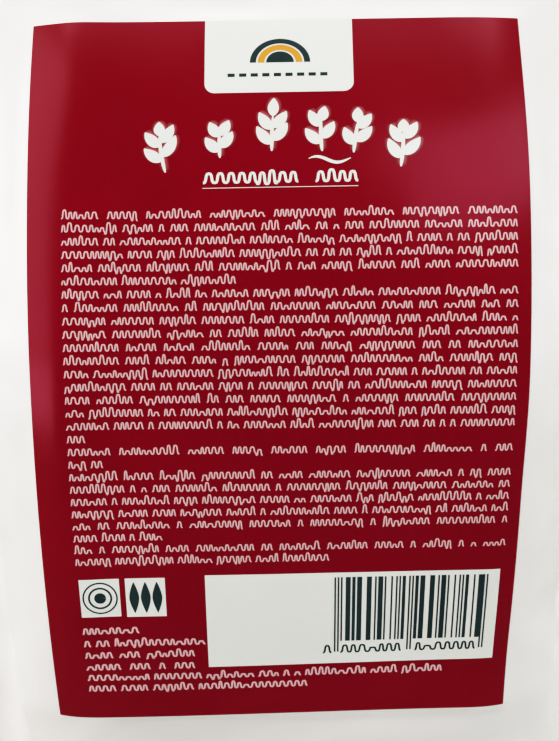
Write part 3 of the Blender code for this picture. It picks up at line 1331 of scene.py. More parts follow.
    def keep_apart(self, front: np.ndarray, back: np.ndarray) -> None:
        """Keep the two welded films of each fin a film's thickness apart.

        Args:
            front: The front film's points, which are moved where the films meet.
            back: The back film's points, which are moved too.
        """
        middle = (front[..., 1] + back[..., 1]) / 2
        half = np.maximum((back[..., 1] - front[..., 1]) / 2, self.least_half)
        front[..., 1], back[..., 1] = middle - half, middle + half

    @property
    def inner_columns(self) -> np.ndarray:
        """The columns between the side seals."""
        return np.flatnonzero(abs(self.across) < self.form.seal_inner + self.column_slack)

    def rims(self, points: list[np.ndarray], faces: Faces) -> None:
        """Close the gap between the films along the sides, the top and the fins' feet.

        Args:
            points: The grids of vertices so far, which get the rims' own.
            faces: The faces so far.
        """
        front, back = self.skins[Side.FRONT].points, self.skins[Side.BACK].points
        first, last = self.inner_columns[[0, -1]]
        edges = (
            (front[:, 0], back[:, 0], False), (front[:, -1], back[:, -1], True),
            (front[-1], back[-1], False), (front[0, :first + 1], back[0, :first + 1], True),
            (front[0, last:], back[0, last:], True),
        )
        for near, far, flip in edges:
            start = sum(len(part) for part in points)
            points.append(np.stack([near, (near + far) / 2, far]).reshape(-1, 3))
            faces.extend(grid_faces(3, len(near), start, flip))

    def skirt_row(self, share: float, side: Side) -> Pair:
        """Give the inner face of a skirt, at a share of the way up to the seal line.

        Args:
            share: The share.
            side: Which skirt.

        Returns:
            The row's points, and how far back the middle of the bag is at each.
        """
        across = self.across[self.inner_columns]
        line = self.form.seal_line(across) * share
        near, normals = self.skins[side].place(across, line, 0.0)
        far, _ = self.skins[Side(-side.value)].place(across, line, 0.0)
        middle = (near[:, 1] + far[:, 1]) / 2
        room = (near[:, 1] - middle) * side.value
        depth = np.minimum(self.skirt_thickness, self.skirt_room * room)
        inside = near - normals * depth[:, None]
        inside[[0, -1]] = ((near + far) / 2)[[0, -1]]
        return inside, middle

    def base_rows(self) -> list[np.ndarray]:
        """Work out the rows of the folded base, from the front skirt to the back one.

        Returns:
            The rows of points.
        """
        columns = self.inner_columns
        fold = self.form.fold_line(self.across[columns])
        rows = []
        for side in Side:
            half = [self.skins[side].points[0, columns]]
            shares = np.arange(self.skirt_rows) / self.skirt_rows
            half += [self.skirt_row(share, side)[0] for share in shares]
            seal, middle = self.skirt_row(1.0, side)
            half.append(seal)
            for share in np.linspace(self.base_rows_from, 0.0, self.base_rows_each):
                rise = smooth_step(self.base_flat_share, 1.0, share)
                height = fold + (seal[:, 2] - fold) * rise
                height = height + self.fold_groove * np.exp(-share * self.groove_sharpness)
                depth = middle + (seal[:, 1] - middle) * share
                half.append(np.stack([seal[:, 0], depth, height], axis=-1))
            rows.extend(half if side is Side.FRONT else half[-2::-1])
        return rows

    def build(self, finish: bpy.types.Material) -> bpy.types.Object:
        """Build the closed bag.

        Args:
            finish: The film's material.

        Returns:
            The piece.
        """
        rows, columns = len(self.up), len(self.across)
        points = [self.skins[side].points.reshape(-1, 3) for side in Side]
        faces = grid_faces(rows, columns) + grid_faces(rows, columns, rows * columns, flip=True)
        self.rims(points, faces)
        base = self.base_rows()
        start = sum(len(part) for part in points)
        points.extend(base)
        faces.extend(grid_faces(len(base), len(base[0]), start, flip=True))
        made = new_object("pouch_film", np.concatenate(points), faces, finish)
        self.mark_places(made.data, rows * columns)
        weld = made.modifiers.new("weld", "WELD")
        weld.merge_threshold = self.weld_reach
        fit_to_body(made, Slot.FILM, "pouch")
        return made

    def mark_places(self, mesh: bpy.types.Mesh, film_points: int) -> None:
        """Write the film places and the sealed mask, which the finish reads.

        Args:
            mesh: The bag's mesh.
            film_points: How many vertices each film has.
        """
        across, up = np.meshgrid(self.across, self.up)
        count = len(mesh.vertices)
        places = np.zeros((count, 3))
        sealed = np.zeros(count)
        for index in range(2):
            part = slice(index * film_points, (index + 1) * film_points)
            places[part, 0], places[part, 1] = across.ravel(), up.ravel()
            sealed[part] = self.sealed(across, up).ravel()
        place = mesh.attributes.new("film_place", "FLOAT_VECTOR", "POINT")
        place.data.foreach_set("vector", places.ravel())
        mesh.attributes.new("sealed", "FLOAT", "POINT").data.foreach_set("value", sealed)


# ---------------------------------------------------------------- the label


@dataclass(frozen=True)
class PrintBed:
    """The label's face, and how far above it the inks lie."""

    skin: FilmSkin
    label: LabelPlace
    under: float = 0.00001
    on: float = 0.00002
    over: float = 0.00004


@dataclass
class Label:
    """The label's own sheet."""

    place: LabelPlace
    film: PouchFilm
    step: float = 0.001
    sharp_angle: float = 50.0

    def build(self, finish: bpy.types.Material) -> PrintBed:
        """Build the sheet.

        Args:
            finish: The label's material.

        Returns:
            Its face, which carries the print.
        """
        place = self.place
        across = stations((-place.half, place.half), (round(place.width / self.step),))
        up = stations((place.bottom, place.top), (round(place.height / self.step),))
        skin = self.outer_skin(across, up)
        inner = skin.points - skin.normals * place.thickness
        rows, columns = len(up), len(across)
        points = [skin.points.reshape(-1, 3), inner.reshape(-1, 3)]
        faces = grid_faces(rows, columns) + grid_faces(rows, columns, rows * columns, flip=True)
        count = rows * columns
        grid = np.arange(count).reshape(rows, columns)
        loop = np.concatenate([grid[0], grid[1:, -1], grid[-1, -2::-1], grid[-2:0:-1, 0]])
        for first, second in zip(loop, np.roll(loop, -1)):
            faces.append([int(first), int(first + count), int(second + count), int(second)])
        made = new_object("label_sheet", np.concatenate(points), faces, finish)
        made.data.set_sharp_from_angle(angle=math.radians(self.sharp_angle))
        fit_to_body(made, Slot.LABEL, "label")
        return PrintBed(skin, place)

    def outer_skin(self, across: np.ndarray, up: np.ndarray) -> FilmSkin:
        """Work out the label's outer face.

        Args:
            across: The places of its columns, across the film.
            up: The places of its rows, up the film.

        Returns:
            Its skin.
        """
        plain = self.film.form.points(across, up, Side.FRONT)
        lift = self.place.outer_lift + self.film.shared_lift(*np.meshgrid(across, up))
        points = plain + grid_normals(plain, Side.FRONT) * lift[..., None]
        return FilmSkin(across, up, points, grid_normals(points, Side.FRONT))


def sideways(path: np.ndarray) -> np.ndarray:
    """Give the directions square to a path.

    Args:
        path: Its points, right and down.

    Returns:
        A unit direction at each point.
    """
    along = np.gradient(path, axis=0)
    along = along / np.maximum(np.linalg.norm(along, axis=1, keepdims=True), 1e-12)
    return np.stack([along[:, 1], -along[:, 0]], axis=-1)


def level_path(start: float, end: float, down: float, count: int) -> np.ndarray:
    """Give the points of a level line on the label."""
    return np.stack([np.linspace(start, end, count), np.full(count, down)], axis=-1)


def upright_path(right: float, top: float, bottom: float, count: int) -> np.ndarray:
    """Give the points of an upright line on the label."""
    return np.stack([np.full(count, right), np.linspace(top, bottom, count)], axis=-1)


@dataclass
class PrintLayer:
    """Flat shapes of one ink, laid on the label as a mesh of its own."""

    name: str
    slot: Slot
    bed: PrintBed
    lift: float
    level_step: float = 0.000003
    level: int = 0
    halo_shares: tuple[float, ...] = (1.0, 0.6, 0.2, 0.0)
    halo_ends: float = 0.35
    halo_sides: float = 0.7
    corner_points: int = 7
    spots: list[np.ndarray] = field(default_factory=list)
    faces: Faces = field(default_factory=list)
    fades: list[np.ndarray] = field(default_factory=list)

    def add_grid(self, right: np.ndarray, down: np.ndarray, fade: Values = 0.0) -> None:
        """Add a grid of label places.

        Args:
            right: How far right of the label's corner, by row and column.
            down: How far down.
            fade: How far each point has faded into the label's colour.
        """
        start = sum(len(part) for part in self.spots)
        lifts = np.full(right.size, self.lift + self.level * self.level_step)
        self.spots.append(np.stack([right.ravel(), down.ravel(), lifts], axis=-1))
        self.fades.append(np.broadcast_to(fade, right.shape).ravel())
        self.faces.extend(grid_faces(*right.shape, start, flip=True))

    def ribbon(self, path: np.ndarray, half_width: Values) -> None:
        """Add a ribbon along a path.

        Args:
            path: Its points, right and down.
            half_width: Half its width, at each point or all along.
        """
        offset = sideways(path) * np.reshape(np.broadcast_to(half_width, len(path)), (-1, 1))
        above, below = path + offset, path - offset
        self.add_grid(np.stack([above[:, 0], below[:, 0]]), np.stack([above[:, 1], below[:, 1]]))

    def halo(self, path: np.ndarray, half_width: np.ndarray, reach: float) -> None:
        """Add a soft halo round a ribbon, which fades outwards.

        Args:
            path: The middle of the halo.
            half_width: Half the ribbon's width at each point.
            reach: How far the halo reaches beyond it.
        """
        shares = np.array([*self.halo_shares, *self.halo_shares[::-1]])[:, None]
        signs = np.repeat([1, -1], len(self.halo_shares))[:, None]
        spread = (half_width[None, :] + reach * shares) * signs
        grid = path[None, :, :] + sideways(path)[None, :, :] * spread[..., None]
        ends = np.sin(np.linspace(0.0, math.pi, len(path))) ** self.halo_ends
        fade = 1.0 - (1.0 - shares ** self.halo_sides) * ends[None, :]
        self.add_grid(grid[..., 0], grid[..., 1], fade)

    def patch(self, box: Box, corner: float = 0.0, step: float = 0.0008) -> None:
        """Add a rectangle.

        Args:
            box: Its left, top, right and bottom.
            corner: The radius of its two bottom corners.
            step: How far apart its points are.
        """
        left, top, right, bottom = box
        columns = np.linspace(left, right, max(3, round((right - left) / step) + 1))
        if corner > 0.0:
            round_in = corner * (1.0 - np.cos(np.linspace(0.0, math.pi / 2, self.corner_points)))
            columns = np.unique(np.concatenate([
                left + round_in, right - round_in,
                np.linspace(left + corner, right - corner, round((right - left) / step)),
            ]))
        inner = np.minimum(columns - left, right - columns)
        missing = np.clip(corner - inner, 0.0, corner)
        floor = bottom - (corner - np.sqrt(np.maximum(corner ** 2 - missing ** 2, 0.0)))
        shares = np.linspace(0.0, 1.0, max(2, round((bottom - top) / step) + 1))
        down = top + shares[:, None] * (floor - top)[None, :]
        self.add_grid(np.broadcast_to(columns, down.shape), down)

    def build(self, finish: bpy.types.Material) -> bpy.types.Object:
        """Lay the shapes on the label.

        Args:
            finish: The ink's material.

        Returns:
            The piece.
        """
        spots = np.concatenate(self.spots)
        across = spots[:, 0] - self.bed.label.half
        up = self.bed.label.top - spots[:, 1]
        points, normals = self.bed.skin.place(across, up, spots[:, 2])
        made = new_object(self.name, points, self.faces, finish)
        fades = np.concatenate(self.fades)
        made.data.attributes.new("fade", "FLOAT", "POINT").data.foreach_set("value", fades)
        made.data.normals_split_custom_set_from_vertices([tuple(normal) for normal in normals])
        fit_to_body(made, self.slot)
        return made


@dataclass(frozen=True)
class WavePrint:
    """Rows of small squarish waves, in runs with gaps between them."""

    stroke: float
    height: float
    pitch: float
    gap: float
    tall_share: float = 0.13
    tall_more: float = 0.40
    drop_share: float = 0.07
    low_share: float = 0.16
    low_less: float = 0.9
    pitch_spread: float = 0.30
    squareness: float = 2.9
    points_each: int = 14
    longest: int = 11
    widest_gap: float = 2.6

    def run(
        self, layer: PrintLayer, left: float, middle: float, waves: int,
        chance: np.random.Generator,
    ) -> None:
        """Draw one run of waves.

        Args:
            layer: The ink that it goes in.
            left: Where it starts.
            middle: How far down its middle is.
            waves: How many waves it has.
            chance: The source of its small differences.
        """
        turns = np.linspace(0.0, waves, waves * self.points_each + 1)
        swing = np.sin(2.0 * math.pi * turns - math.pi / 2)
        rounded = np.tanh(self.squareness * swing) / math.tanh(self.squareness)
        tall = 1.0 + 2.0 * self.tall_more * (chance.random(waves) < self.tall_share)
        low = 1.0 - self.low_less * (chance.random(waves) < self.low_share)
        below = 1.0 + 2.0 * self.tall_more * (chance.random(waves) < self.drop_share)
        widths = 1.0 + self.pitch_spread * (2.0 * chance.random(waves) - 1.0)
        widths *= waves / widths.sum()
        index = np.minimum(turns.astype(int), waves - 1)
        reach = np.where(rounded > 0.0, (tall * low)[index], below[index])
        down = middle - rounded * self.height / 2 * reach
        starts = np.concatenate([[0.0], np.cumsum(widths)])
        right = left + (starts[index] + (turns - index) * widths[index]) * self.pitch
        layer.ribbon(np.stack([right, down], axis=-1), self.stroke / 2)

    def line(
        self, layer: PrintLayer, left: float, right: float, middle: float,
        chance: np.random.Generator, justify: bool = True,
    ) -> None:
        """Fill a line with runs of waves.

        Args:
            layer: The ink that it goes in.
            left: Where the line starts.
            right: Where it ends.
            middle: How far down its middle is.
            chance: The source of the runs' lengths.
            justify: Spread the gaps so that the line ends exactly at its right end.
        """
        room = right - left
        runs: list[int] = []
        while True:
            waves = int(chance.integers(1, self.longest))
            used = sum(runs) * self.pitch + len(runs) * self.gap + waves * self.pitch
            if used > room:
                break
            runs.append(waves)
        if not runs:
            runs = [max(1, int(room / self.pitch))]
        spare = room - sum(runs) * self.pitch
        gap = spare / max(1, len(runs) - 1) if justify and len(runs) > 1 else self.gap
        if justify and gap > self.widest_gap * self.gap:
            runs[-1] += int((gap - self.gap) * (len(runs) - 1) / self.pitch)
            gap = (room - sum(runs) * self.pitch) / max(1, len(runs) - 1)
        at = left
        for waves in runs:
            self.run(layer, at, middle, waves, chance)
            at += waves * self.pitch + gap


@dataclass
class BodyPrint:
    """The long block of small pale rows, and the short rows under the two squares."""

    bed: PrintBed
    left: float = 7.35 * MM
    right: float = 97.2 * MM
    first_row: float = 40.85 * MM
    row_pitch: float = 2.618 * MM
    paragraph_ends: tuple[tuple[int, float], ...] = (
        (5, 0.42), (17, 0.14), (19, 0.13), (25, 0.30), (27, 0.62),
    )
    small: WavePrint = WavePrint(stroke=0.31 * MM, height=1.22 * MM, pitch=1.22 * MM, gap=0.80 * MM)
    foot: WavePrint = WavePrint(stroke=0.42 * MM, height=1.20 * MM, pitch=1.50 * MM, gap=0.90 * MM)
    foot_left: float = 7.5 * MM
    foot_rows: tuple[Couple, ...] = (
        (127.7 * MM, 27.8 * MM), (130.8 * MM, 33.5 * MM), (133.7 * MM, 31.1 * MM),
        (136.7 * MM, 31.0 * MM), (139.4 * MM, 85.3 * MM), (142.2 * MM, 55.5 * MM),
    )
    seed: int = 2583

    def build(self, finish: bpy.types.Material) -> None:
        """Print each paragraph as a piece, then the foot rows.

        Args:
            finish: The pale ink's material.
        """
        chance = np.random.default_rng(self.seed)
        row = 0
        for number, (last, share) in enumerate(self.paragraph_ends, start=1):
            layer = PrintLayer(f"print_paragraph_{number}", Slot.WHITE, self.bed, self.bed.on)
            while row <= last:
                ending = row == last
                right = self.left + (self.right - self.left) * (share if ending else 1.0)
                middle = self.first_row + row * self.row_pitch
                self.small.line(layer, self.left, right, middle, chance, justify=not ending)
                row += 1
            layer.build(finish)
        layer = PrintLayer("print_foot_rows", Slot.WHITE, self.bed, self.bed.on)
        for middle, right in self.foot_rows:
            self.foot.line(layer, self.foot_left, right, middle, chance)
        layer.build(finish)


@dataclass(frozen=True)
class Sprig:
    """One sprig of the heading: a bent stem with brushed leaves along it.

    Each leaf is given by its share of the way up the stem, how many degrees it
    turns away from the stem, and its length in millimetres.
    """

    right: float
    down: float
    length: float
    lean: float
    bend: float
    leaves: tuple[Triple, ...]
    stem_width: float = 0.80 * MM
    leaf_width: float = 2.25 * MM
    leaf_scale: float = 1.12
    leaf_bend: float = -0.55
    stem_taper: float = 0.35
    leaf_taper: float = 0.72
    steps: int = 19
    belly: float = 0.85
    ends: Couple = (0.02, 0.985)

    def stroke(
        self, foot: np.ndarray, length: float, heading: float, bend: float, width: float,
        taper: float,
    ) -> Pair:
        """Give a brush stroke's path and half widths.

        Args:
            foot: Where it starts, right and down.
            length: Its length.
            heading: Which way it sets off, in degrees to the right of upright.
            bend: How much it turns along its length, in degrees.
            width: Its greatest width.
            taper: How fast its ends narrow, from 0 for square ones to 1 for points.

        Returns:
            The path and the half widths.
        """
        share = np.linspace(0.0, 1.0, self.steps + 1)
        turn = np.radians(heading + bend * share)
        step = length / self.steps
        right = np.concatenate([[0.0], np.cumsum(np.sin(turn[1:]) * step)])
        up = np.concatenate([[0.0], np.cumsum(np.cos(turn[1:]) * step)])
        half = width / 2 * np.sin(math.pi * np.clip(share ** self.belly, *self.ends)) ** taper
        return np.stack([foot[0] + right, foot[1] - up], axis=-1), half

    def strokes(self) -> list[Pair]:
        """Draw the stem, then each leaf.

        Returns:
            The path and half widths of each.
        """
        foot = np.array([self.right, self.down])
        stem, half = self.stroke(
            foot, self.length, self.lean, self.bend, self.stem_width, self.stem_taper,
        )
        drawn = [(stem, half)]
        for share, turn, length in self.leaves:
            drawn.append(self.stroke(
                stem[round(share * self.steps)], length * MM * self.leaf_scale,
                self.lean + self.bend * share + turn, turn * self.leaf_bend,
                self.leaf_width, self.leaf_taper,
            ))
        return drawn


@dataclass
class Heading:
    """The heading: six sprigs in an arch, and an underlined row of waves."""

    bed: PrintBed
    sprigs: tuple[Sprig, ...] = (
        Sprig(28.0 * MM, 32.4 * MM, 8.0 * MM, -16.0, 14.0, (
            (0.30, -62.0, 4.0), (0.42, 60.0, 4.6), (0.66, -56.0, 3.8), (0.80, 58.0, 4.0),
            (0.97, 0.0, 2.6),
        )),
        Sprig(38.9 * MM, 29.6 * MM, 5.2 * MM, -6.0, 10.0, (
            (0.28, -58.0, 3.6), (0.40, 58.0, 3.7), (0.84, -50.0, 3.2), (0.92, 40.0, 3.2),
        )),
        Sprig(49.2 * MM, 28.4 * MM, 7.2 * MM, 0.0, 4.0, (
            (0.22, -56.0, 4.2), (0.30, 56.0, 4.2), (0.62, -54.0, 3.9), (0.70, 54.0, 3.9),
            (0.98, 0.0, 3.4),
        )),
        Sprig(59.2 * MM, 28.6 * MM, 6.6 * MM, -8.0, 14.0, (
            (0.26, -58.0, 3.9), (0.40, 58.0, 3.8), (0.78, -52.0, 3.6), (0.95, 12.0, 2.8),
        )),
        Sprig(65.4 * MM, 29.0 * MM, 6.6 * MM, 6.0, 6.0, (
            (0.26, -52.0, 3.6), (0.36, 58.0, 4.0), (0.80, 50.0, 3.6), (0.95, -14.0, 2.8),
        )),
        Sprig(74.6 * MM, 32.0 * MM, 7.0 * MM, 10.0, -8.0, (
            (0.24, -58.0, 4.2), (0.36, 56.0, 4.4), (0.74, -54.0, 3.8), (0.84, 54.0, 3.8),
            (0.98, 0.0, 2.4),
        )),
    )
    halo_reach: float = 0.75 * MM
    halo_share: float = 0.8
    halo_shift: Couple = (0.10 * MM, -0.32 * MM)
    swash_left: float = 56.5 * MM
    swash_right: float = 64.8 * MM
    swash_down: float = 30.3 * MM
    swash_swing: float = 0.62 * MM
    swash_half: float = 0.34 * MM
    swash_turn: float = 0.4
    swash_points: int = 30
    swash_ends: Couple = (0.02, 0.98)
    row_left: float = 35.5 * MM
    row_right: float = 66.2 * MM
    row_down: float = 33.7 * MM
    row_waves: tuple[int, int] = (9, 4)
    line_down: float = 35.7 * MM
    line_start: float = 35.4 * MM
    line_half: float = 0.07 * MM
    line_points: int = 24
    seed: int = 7
    row: WavePrint = WavePrint(
        stroke=0.58 * MM, height=1.80 * MM, pitch=2.10 * MM, gap=1.7 * MM,
        tall_share=0.15, tall_more=0.22, pitch_spread=0.12,
    )

    def build(self, ink: bpy.types.Material, halo_ink: bpy.types.Material) -> None:
        """Print the heading.

        Args:
            ink: The white ink.
            halo_ink: The ink of the soft halo behind the sprigs.
        """
        halo = PrintLayer("print_heading_halo", Slot.WHITE, self.bed, self.bed.under)
        shapes = PrintLayer("print_heading_sprigs", Slot.WHITE, self.bed, self.bed.over)
        for sprig in self.sprigs:
            for level, (path, half) in enumerate(sprig.strokes()):
                halo.level = shapes.level = level
                halo.halo(path + np.array(self.halo_shift), half * self.halo_share, self.halo_reach)
                shapes.ribbon(path, half)
        shapes.ribbon(*self.swash())
        halo.build(halo_ink)
        shapes.build(ink)
        row = PrintLayer("print_heading_row", Slot.WHITE, self.bed, self.bed.on)
        chance = np.random.default_rng(self.seed)
        first, second = self.row_waves
        self.row.run(row, self.row_left, self.row_down, first, chance)
        left = self.row_right - second * self.row.pitch
        self.row.run(row, left, self.row_down, second, chance)
        rule = level_path(self.line_start, self.row_right, self.line_down, self.line_points)
        row.ribbon(rule, self.line_half)
        row.build(ink)

    def swash(self) -> Pair:
        """Draw the small wavy stroke under the fourth sprig.

        Returns:
            Its path and half widths.
        """
        share = np.linspace(0.0, 1.0, self.swash_points)
        right = self.swash_left + (self.swash_right - self.swash_left) * share
        down = self.swash_down - self.swash_swing * np.sin(2.0 * math.pi * share + self.swash_turn)
        half = self.swash_half * np.sqrt(np.sin(math.pi * np.clip(share, *self.swash_ends)))
        return np.stack([right, down], axis=-1), half


@dataclass
class Tab:
    """The white tab at the top, with a small plain fan-shaped bracket on it."""

    bed: PrintBed
    field_box: Box = (35.75 * MM, 0.0, 65.75 * MM, 16.1 * MM)
    corner: float = 2.0 * MM
    fan_right: float = 51.0 * MM
    fan_down: float = 9.6 * MM
    fan_reach: float = 6.1 * MM
    fan_flatness: float = 0.86
    fan_points: int = 36
    ring_rows: int = 4
    rings: tuple[tuple[float, float, Slot], ...] = (
        (1.00, 0.80, Slot.DARK), (0.74, 0.52, Slot.AMBER), (0.46, 0.0, Slot.DARK),
    )
    row_left: float = 40.4 * MM
    row_right: float = 61.4 * MM
    row_down: float = 12.3 * MM
    dashes: int = 9
    dash_share: float = 0.62
    dash_half: float = 0.36 * MM
    dash_points: int = 4

    def build(self, inks: dict[Slot, bpy.types.Material]) -> None:
        """Print the tab and what is on it.

        Args:
            inks: The inks' materials.
        """
        tab = PrintLayer("print_tab", Slot.WHITE, self.bed, self.bed.on)
        tab.patch(self.field_box, self.corner)
        tab.build(inks[Slot.WHITE])
        layers = {
            slot: PrintLayer(f"print_tab_{slot.name.lower()}", slot, self.bed, self.bed.over)
            for slot in (Slot.DARK, Slot.AMBER)
        }
        angles = np.linspace(math.pi, 0.0, self.fan_points)
        for outer, inner, slot in self.rings:
            reach = self.fan_reach * np.linspace(outer, inner, self.ring_rows)[:, None]
            down = self.fan_down - reach * self.fan_flatness * np.sin(angles)
            layers[slot].add_grid(self.fan_right + reach * np.cos(angles), down)
        pitch = (self.row_right - self.row_left) / self.dashes
        for index in range(self.dashes):
            start = self.row_left + index * pitch
            end = start + pitch * self.dash_share
            dash = level_path(start, end, self.row_down, self.dash_points)
            layers[Slot.DARK].ribbon(dash, self.dash_half)
        for slot, layer in layers.items():
            layer.build(inks[slot])


@dataclass
class Fields:
    """The white fields at the foot: two small squares and a panel with bars."""

    bed: PrintBed
    squares: tuple[Box, ...] = (
        (7.7 * MM, 115.5 * MM, 16.0 * MM, 124.3 * MM),
        (17.2 * MM, 115.5 * MM, 25.6 * MM, 124.5 * MM),
    )
    panel: Box = (34.0 * MM, 115.1 * MM, 96.5 * MM, 137.3 * MM)
    rings: tuple[Couple, ...] = (
        (3.5 * MM, 0.16 * MM), (2.3 * MM, 0.20 * MM), (0.62 * MM, 0.60 * MM),
    )
    ring_points: int = 49
    lozenge_places: tuple[float, ...] = (0.21, 0.50, 0.79)
    lozenge_margin: float = 0.9 * MM
    lozenge_half: float = 1.00 * MM
    lozenge_tip: float = 0.03 * MM
    lozenge_power: float = 1.6
    lozenge_points: int = 15
    bars_left: float = 61.3 * MM
    bars_right: float = 94.0 * MM
    bars_top: float = 116.2 * MM
    bars_bottom: float = 131.7 * MM
    guard_bottom: float = 134.4 * MM
    guards: tuple[int, ...] = (0, 2, 46, 48, 92, 94)
    modules: int = 95
    bar_points: int = 12
    mark_down: float = 133.7 * MM
    mark_runs: tuple[tuple[float, int], ...] = ((58.9 * MM, 1), (62.7 * MM, 7), (79.0 * MM, 7))
    mark_seed: int = 11
    marks: WavePrint = WavePrint(
        stroke=0.42 * MM, height=1.70 * MM, pitch=1.90 * MM, gap=1.0 * MM,
        tall_share=0.0, drop_share=0.0,
    )

    def build(self, inks: dict[Slot, bpy.types.Material]) -> None:
        """Print the fields, then the dark shapes on them.

        Args:
            inks: The inks' materials.
        """
        white = PrintLayer("print_fields", Slot.WHITE, self.bed, self.bed.on)
        for box in (*self.squares, self.panel):
            white.patch(box)
        white.build(inks[Slot.WHITE])
        figures = PrintLayer("print_square_figures", Slot.DARK, self.bed, self.bed.over)
        self.ring_figure(figures)
        self.lozenge_figure(figures)
        figures.build(inks[Slot.DARK])
        bars = PrintLayer("print_bars", Slot.DARK, self.bed, self.bed.over)
        self.bars(bars)
        bars.build(inks[Slot.DARK])

    def ring_figure(self, layer: PrintLayer) -> None:
        """Draw thin rings and a dot in the first square.

        Args:
            layer: The ink that they go in.
        """
        left, top, right, bottom = self.squares[0]
        centre = np.array([(left + right) / 2, (top + bottom) / 2])
        angles = np.linspace(0.0, 2.0 * math.pi, self.ring_points)
        circle = np.stack([np.cos(angles), np.sin(angles)], axis=-1)
        for radius, half in self.rings:
            layer.ribbon(centre + radius * circle, half)

    def lozenge_figure(self, layer: PrintLayer) -> None:
        """Draw three upright lozenges in the second square.

        Args:
            layer: The ink that they go in.
        """
        left, top, right, bottom = self.squares[1]
        top, bottom = top + self.lozenge_margin, bottom - self.lozenge_margin
        from_middle = abs(np.linspace(-1.0, 1.0, self.lozenge_points))
        half = self.lozenge_half * (1.0 - from_middle ** self.lozenge_power) + self.lozenge_tip
        for place in self.lozenge_places:
            middle = left + (right - left) * place
            layer.ribbon(upright_path(middle, top, bottom, self.lozenge_points), half)

    def bars(self, layer: PrintLayer) -> None:
        """Draw upright bars whose widths follow a plain rule and mean nothing.

        Args:
            layer: The ink that they go in.
        """
        module = (self.bars_right - self.bars_left) / self.modules
        at = step = 0
        while at < self.modules:
            guard = at in self.guards
            width = 1 if guard else 1 + (step * step + step // 3) % 4 % 3
            space = 1 if guard else 1 + (step * 5 + step // 4) % 3
            bottom = self.guard_bottom if guard else self.bars_bottom
            middle = self.bars_left + (at + width / 2) * module
            bar = upright_path(middle, self.bars_top, bottom, self.bar_points)
            layer.ribbon(bar, width * module / 2)
            following = at + width + space
            at = next((place for place in self.guards if at < place < following), following)
            step += 1
        chance = np.random.default_rng(self.mark_seed)
        for left, waves in self.mark_runs:
            self.marks.run(layer, left, self.mark_down, waves, chance)


# ---------------------------------------------------------------- the studio


@dataclass(frozen=True)
class SoftLight:
    """A soft panel of light that looks at the pouch."""

    name: str
    azimuth: float
    elevation: float
    distance: float
    width: float
    height: float
    power: float
    colour: Rgb
    spread: float = 180.0

    def build(self, aim: Vector) -> bpy.types.Object:
        """Hang the light.

        Args:
            aim: What it looks at.

        Returns:
            The light.
        """
        data = bpy.data.lights.new(self.name, "AREA")
        data.shape = "RECTANGLE"
        data.size, data.size_y = self.width, self.height
        data.energy = self.power
        data.color = self.colour
        data.spread = math.radians(self.spread)
        lamp = bpy.data.objects.new(self.name, data)
        bpy.context.scene.collection.objects.link(lamp)
        azimuth, elevation = math.radians(self.azimuth), math.radians(self.elevation)
        away = Vector((
            math.sin(azimuth) * math.cos(elevation), -math.cos(azimuth) * math.cos(elevation),
            math.sin(elevation),
        ))
        lamp.location = aim + away * self.distance
        lamp.rotation_mode = "QUATERNION"
        lamp.rotation_quaternion = away.to_track_quat("Z", "Y")
        lamp.visible_camera = False
        return lamp


@dataclass(frozen=True)
class ToneCurve:
    """How the darkest tones deepen and the brightest roll off softly, as a camera's do."""

    toe: float = 0.25
    toe_depth: float = 0.50
    knee: float = 0.65
    brightest: float = 2.2
    toe_knots: int = 8
    knee_knots: int = 9

    def read(self, light: float) -> float:
        """Read the curve: deeper below the toe, softly held back above the knee.

        Args:
            light: Some light.

        Returns:
            How bright it looks.
        """
        if light < self.toe:
            return light * (1.0 - self.toe_depth * (1.0 - light / self.toe))
        if light <= self.knee:
            return light
        room = 1.0 - self.knee
        return self.knee + room * (1.0 - math.exp(-(light - self.knee) / room))

    def apply(self) -> None:
        """Set the curve in the scene's view settings."""
        view = bpy.context.scene.view_settings
        view.view_transform = "Standard"
        view.use_curve_mapping = True
        mapping = view.curve_mapping
        mapping.white_level = (self.brightest, self.brightest, self.brightest)
        combined = mapping.curves[3]
        combined.points[-1].location = (1.0, self.read(self.brightest))
        low = np.linspace(0.0, self.toe, self.toe_knots + 1)[1:]
        high = np.linspace(self.knee, self.brightest, self.knee_knots + 1)[:-1]
        for light in [*low, *high]:
            combined.points.new(float(light) / self.brightest, self.read(float(light)))
        for point in list(combined.points)[:self.toe_knots + 2]:
            point.handle_type = "VECTOR"
        mapping.update()


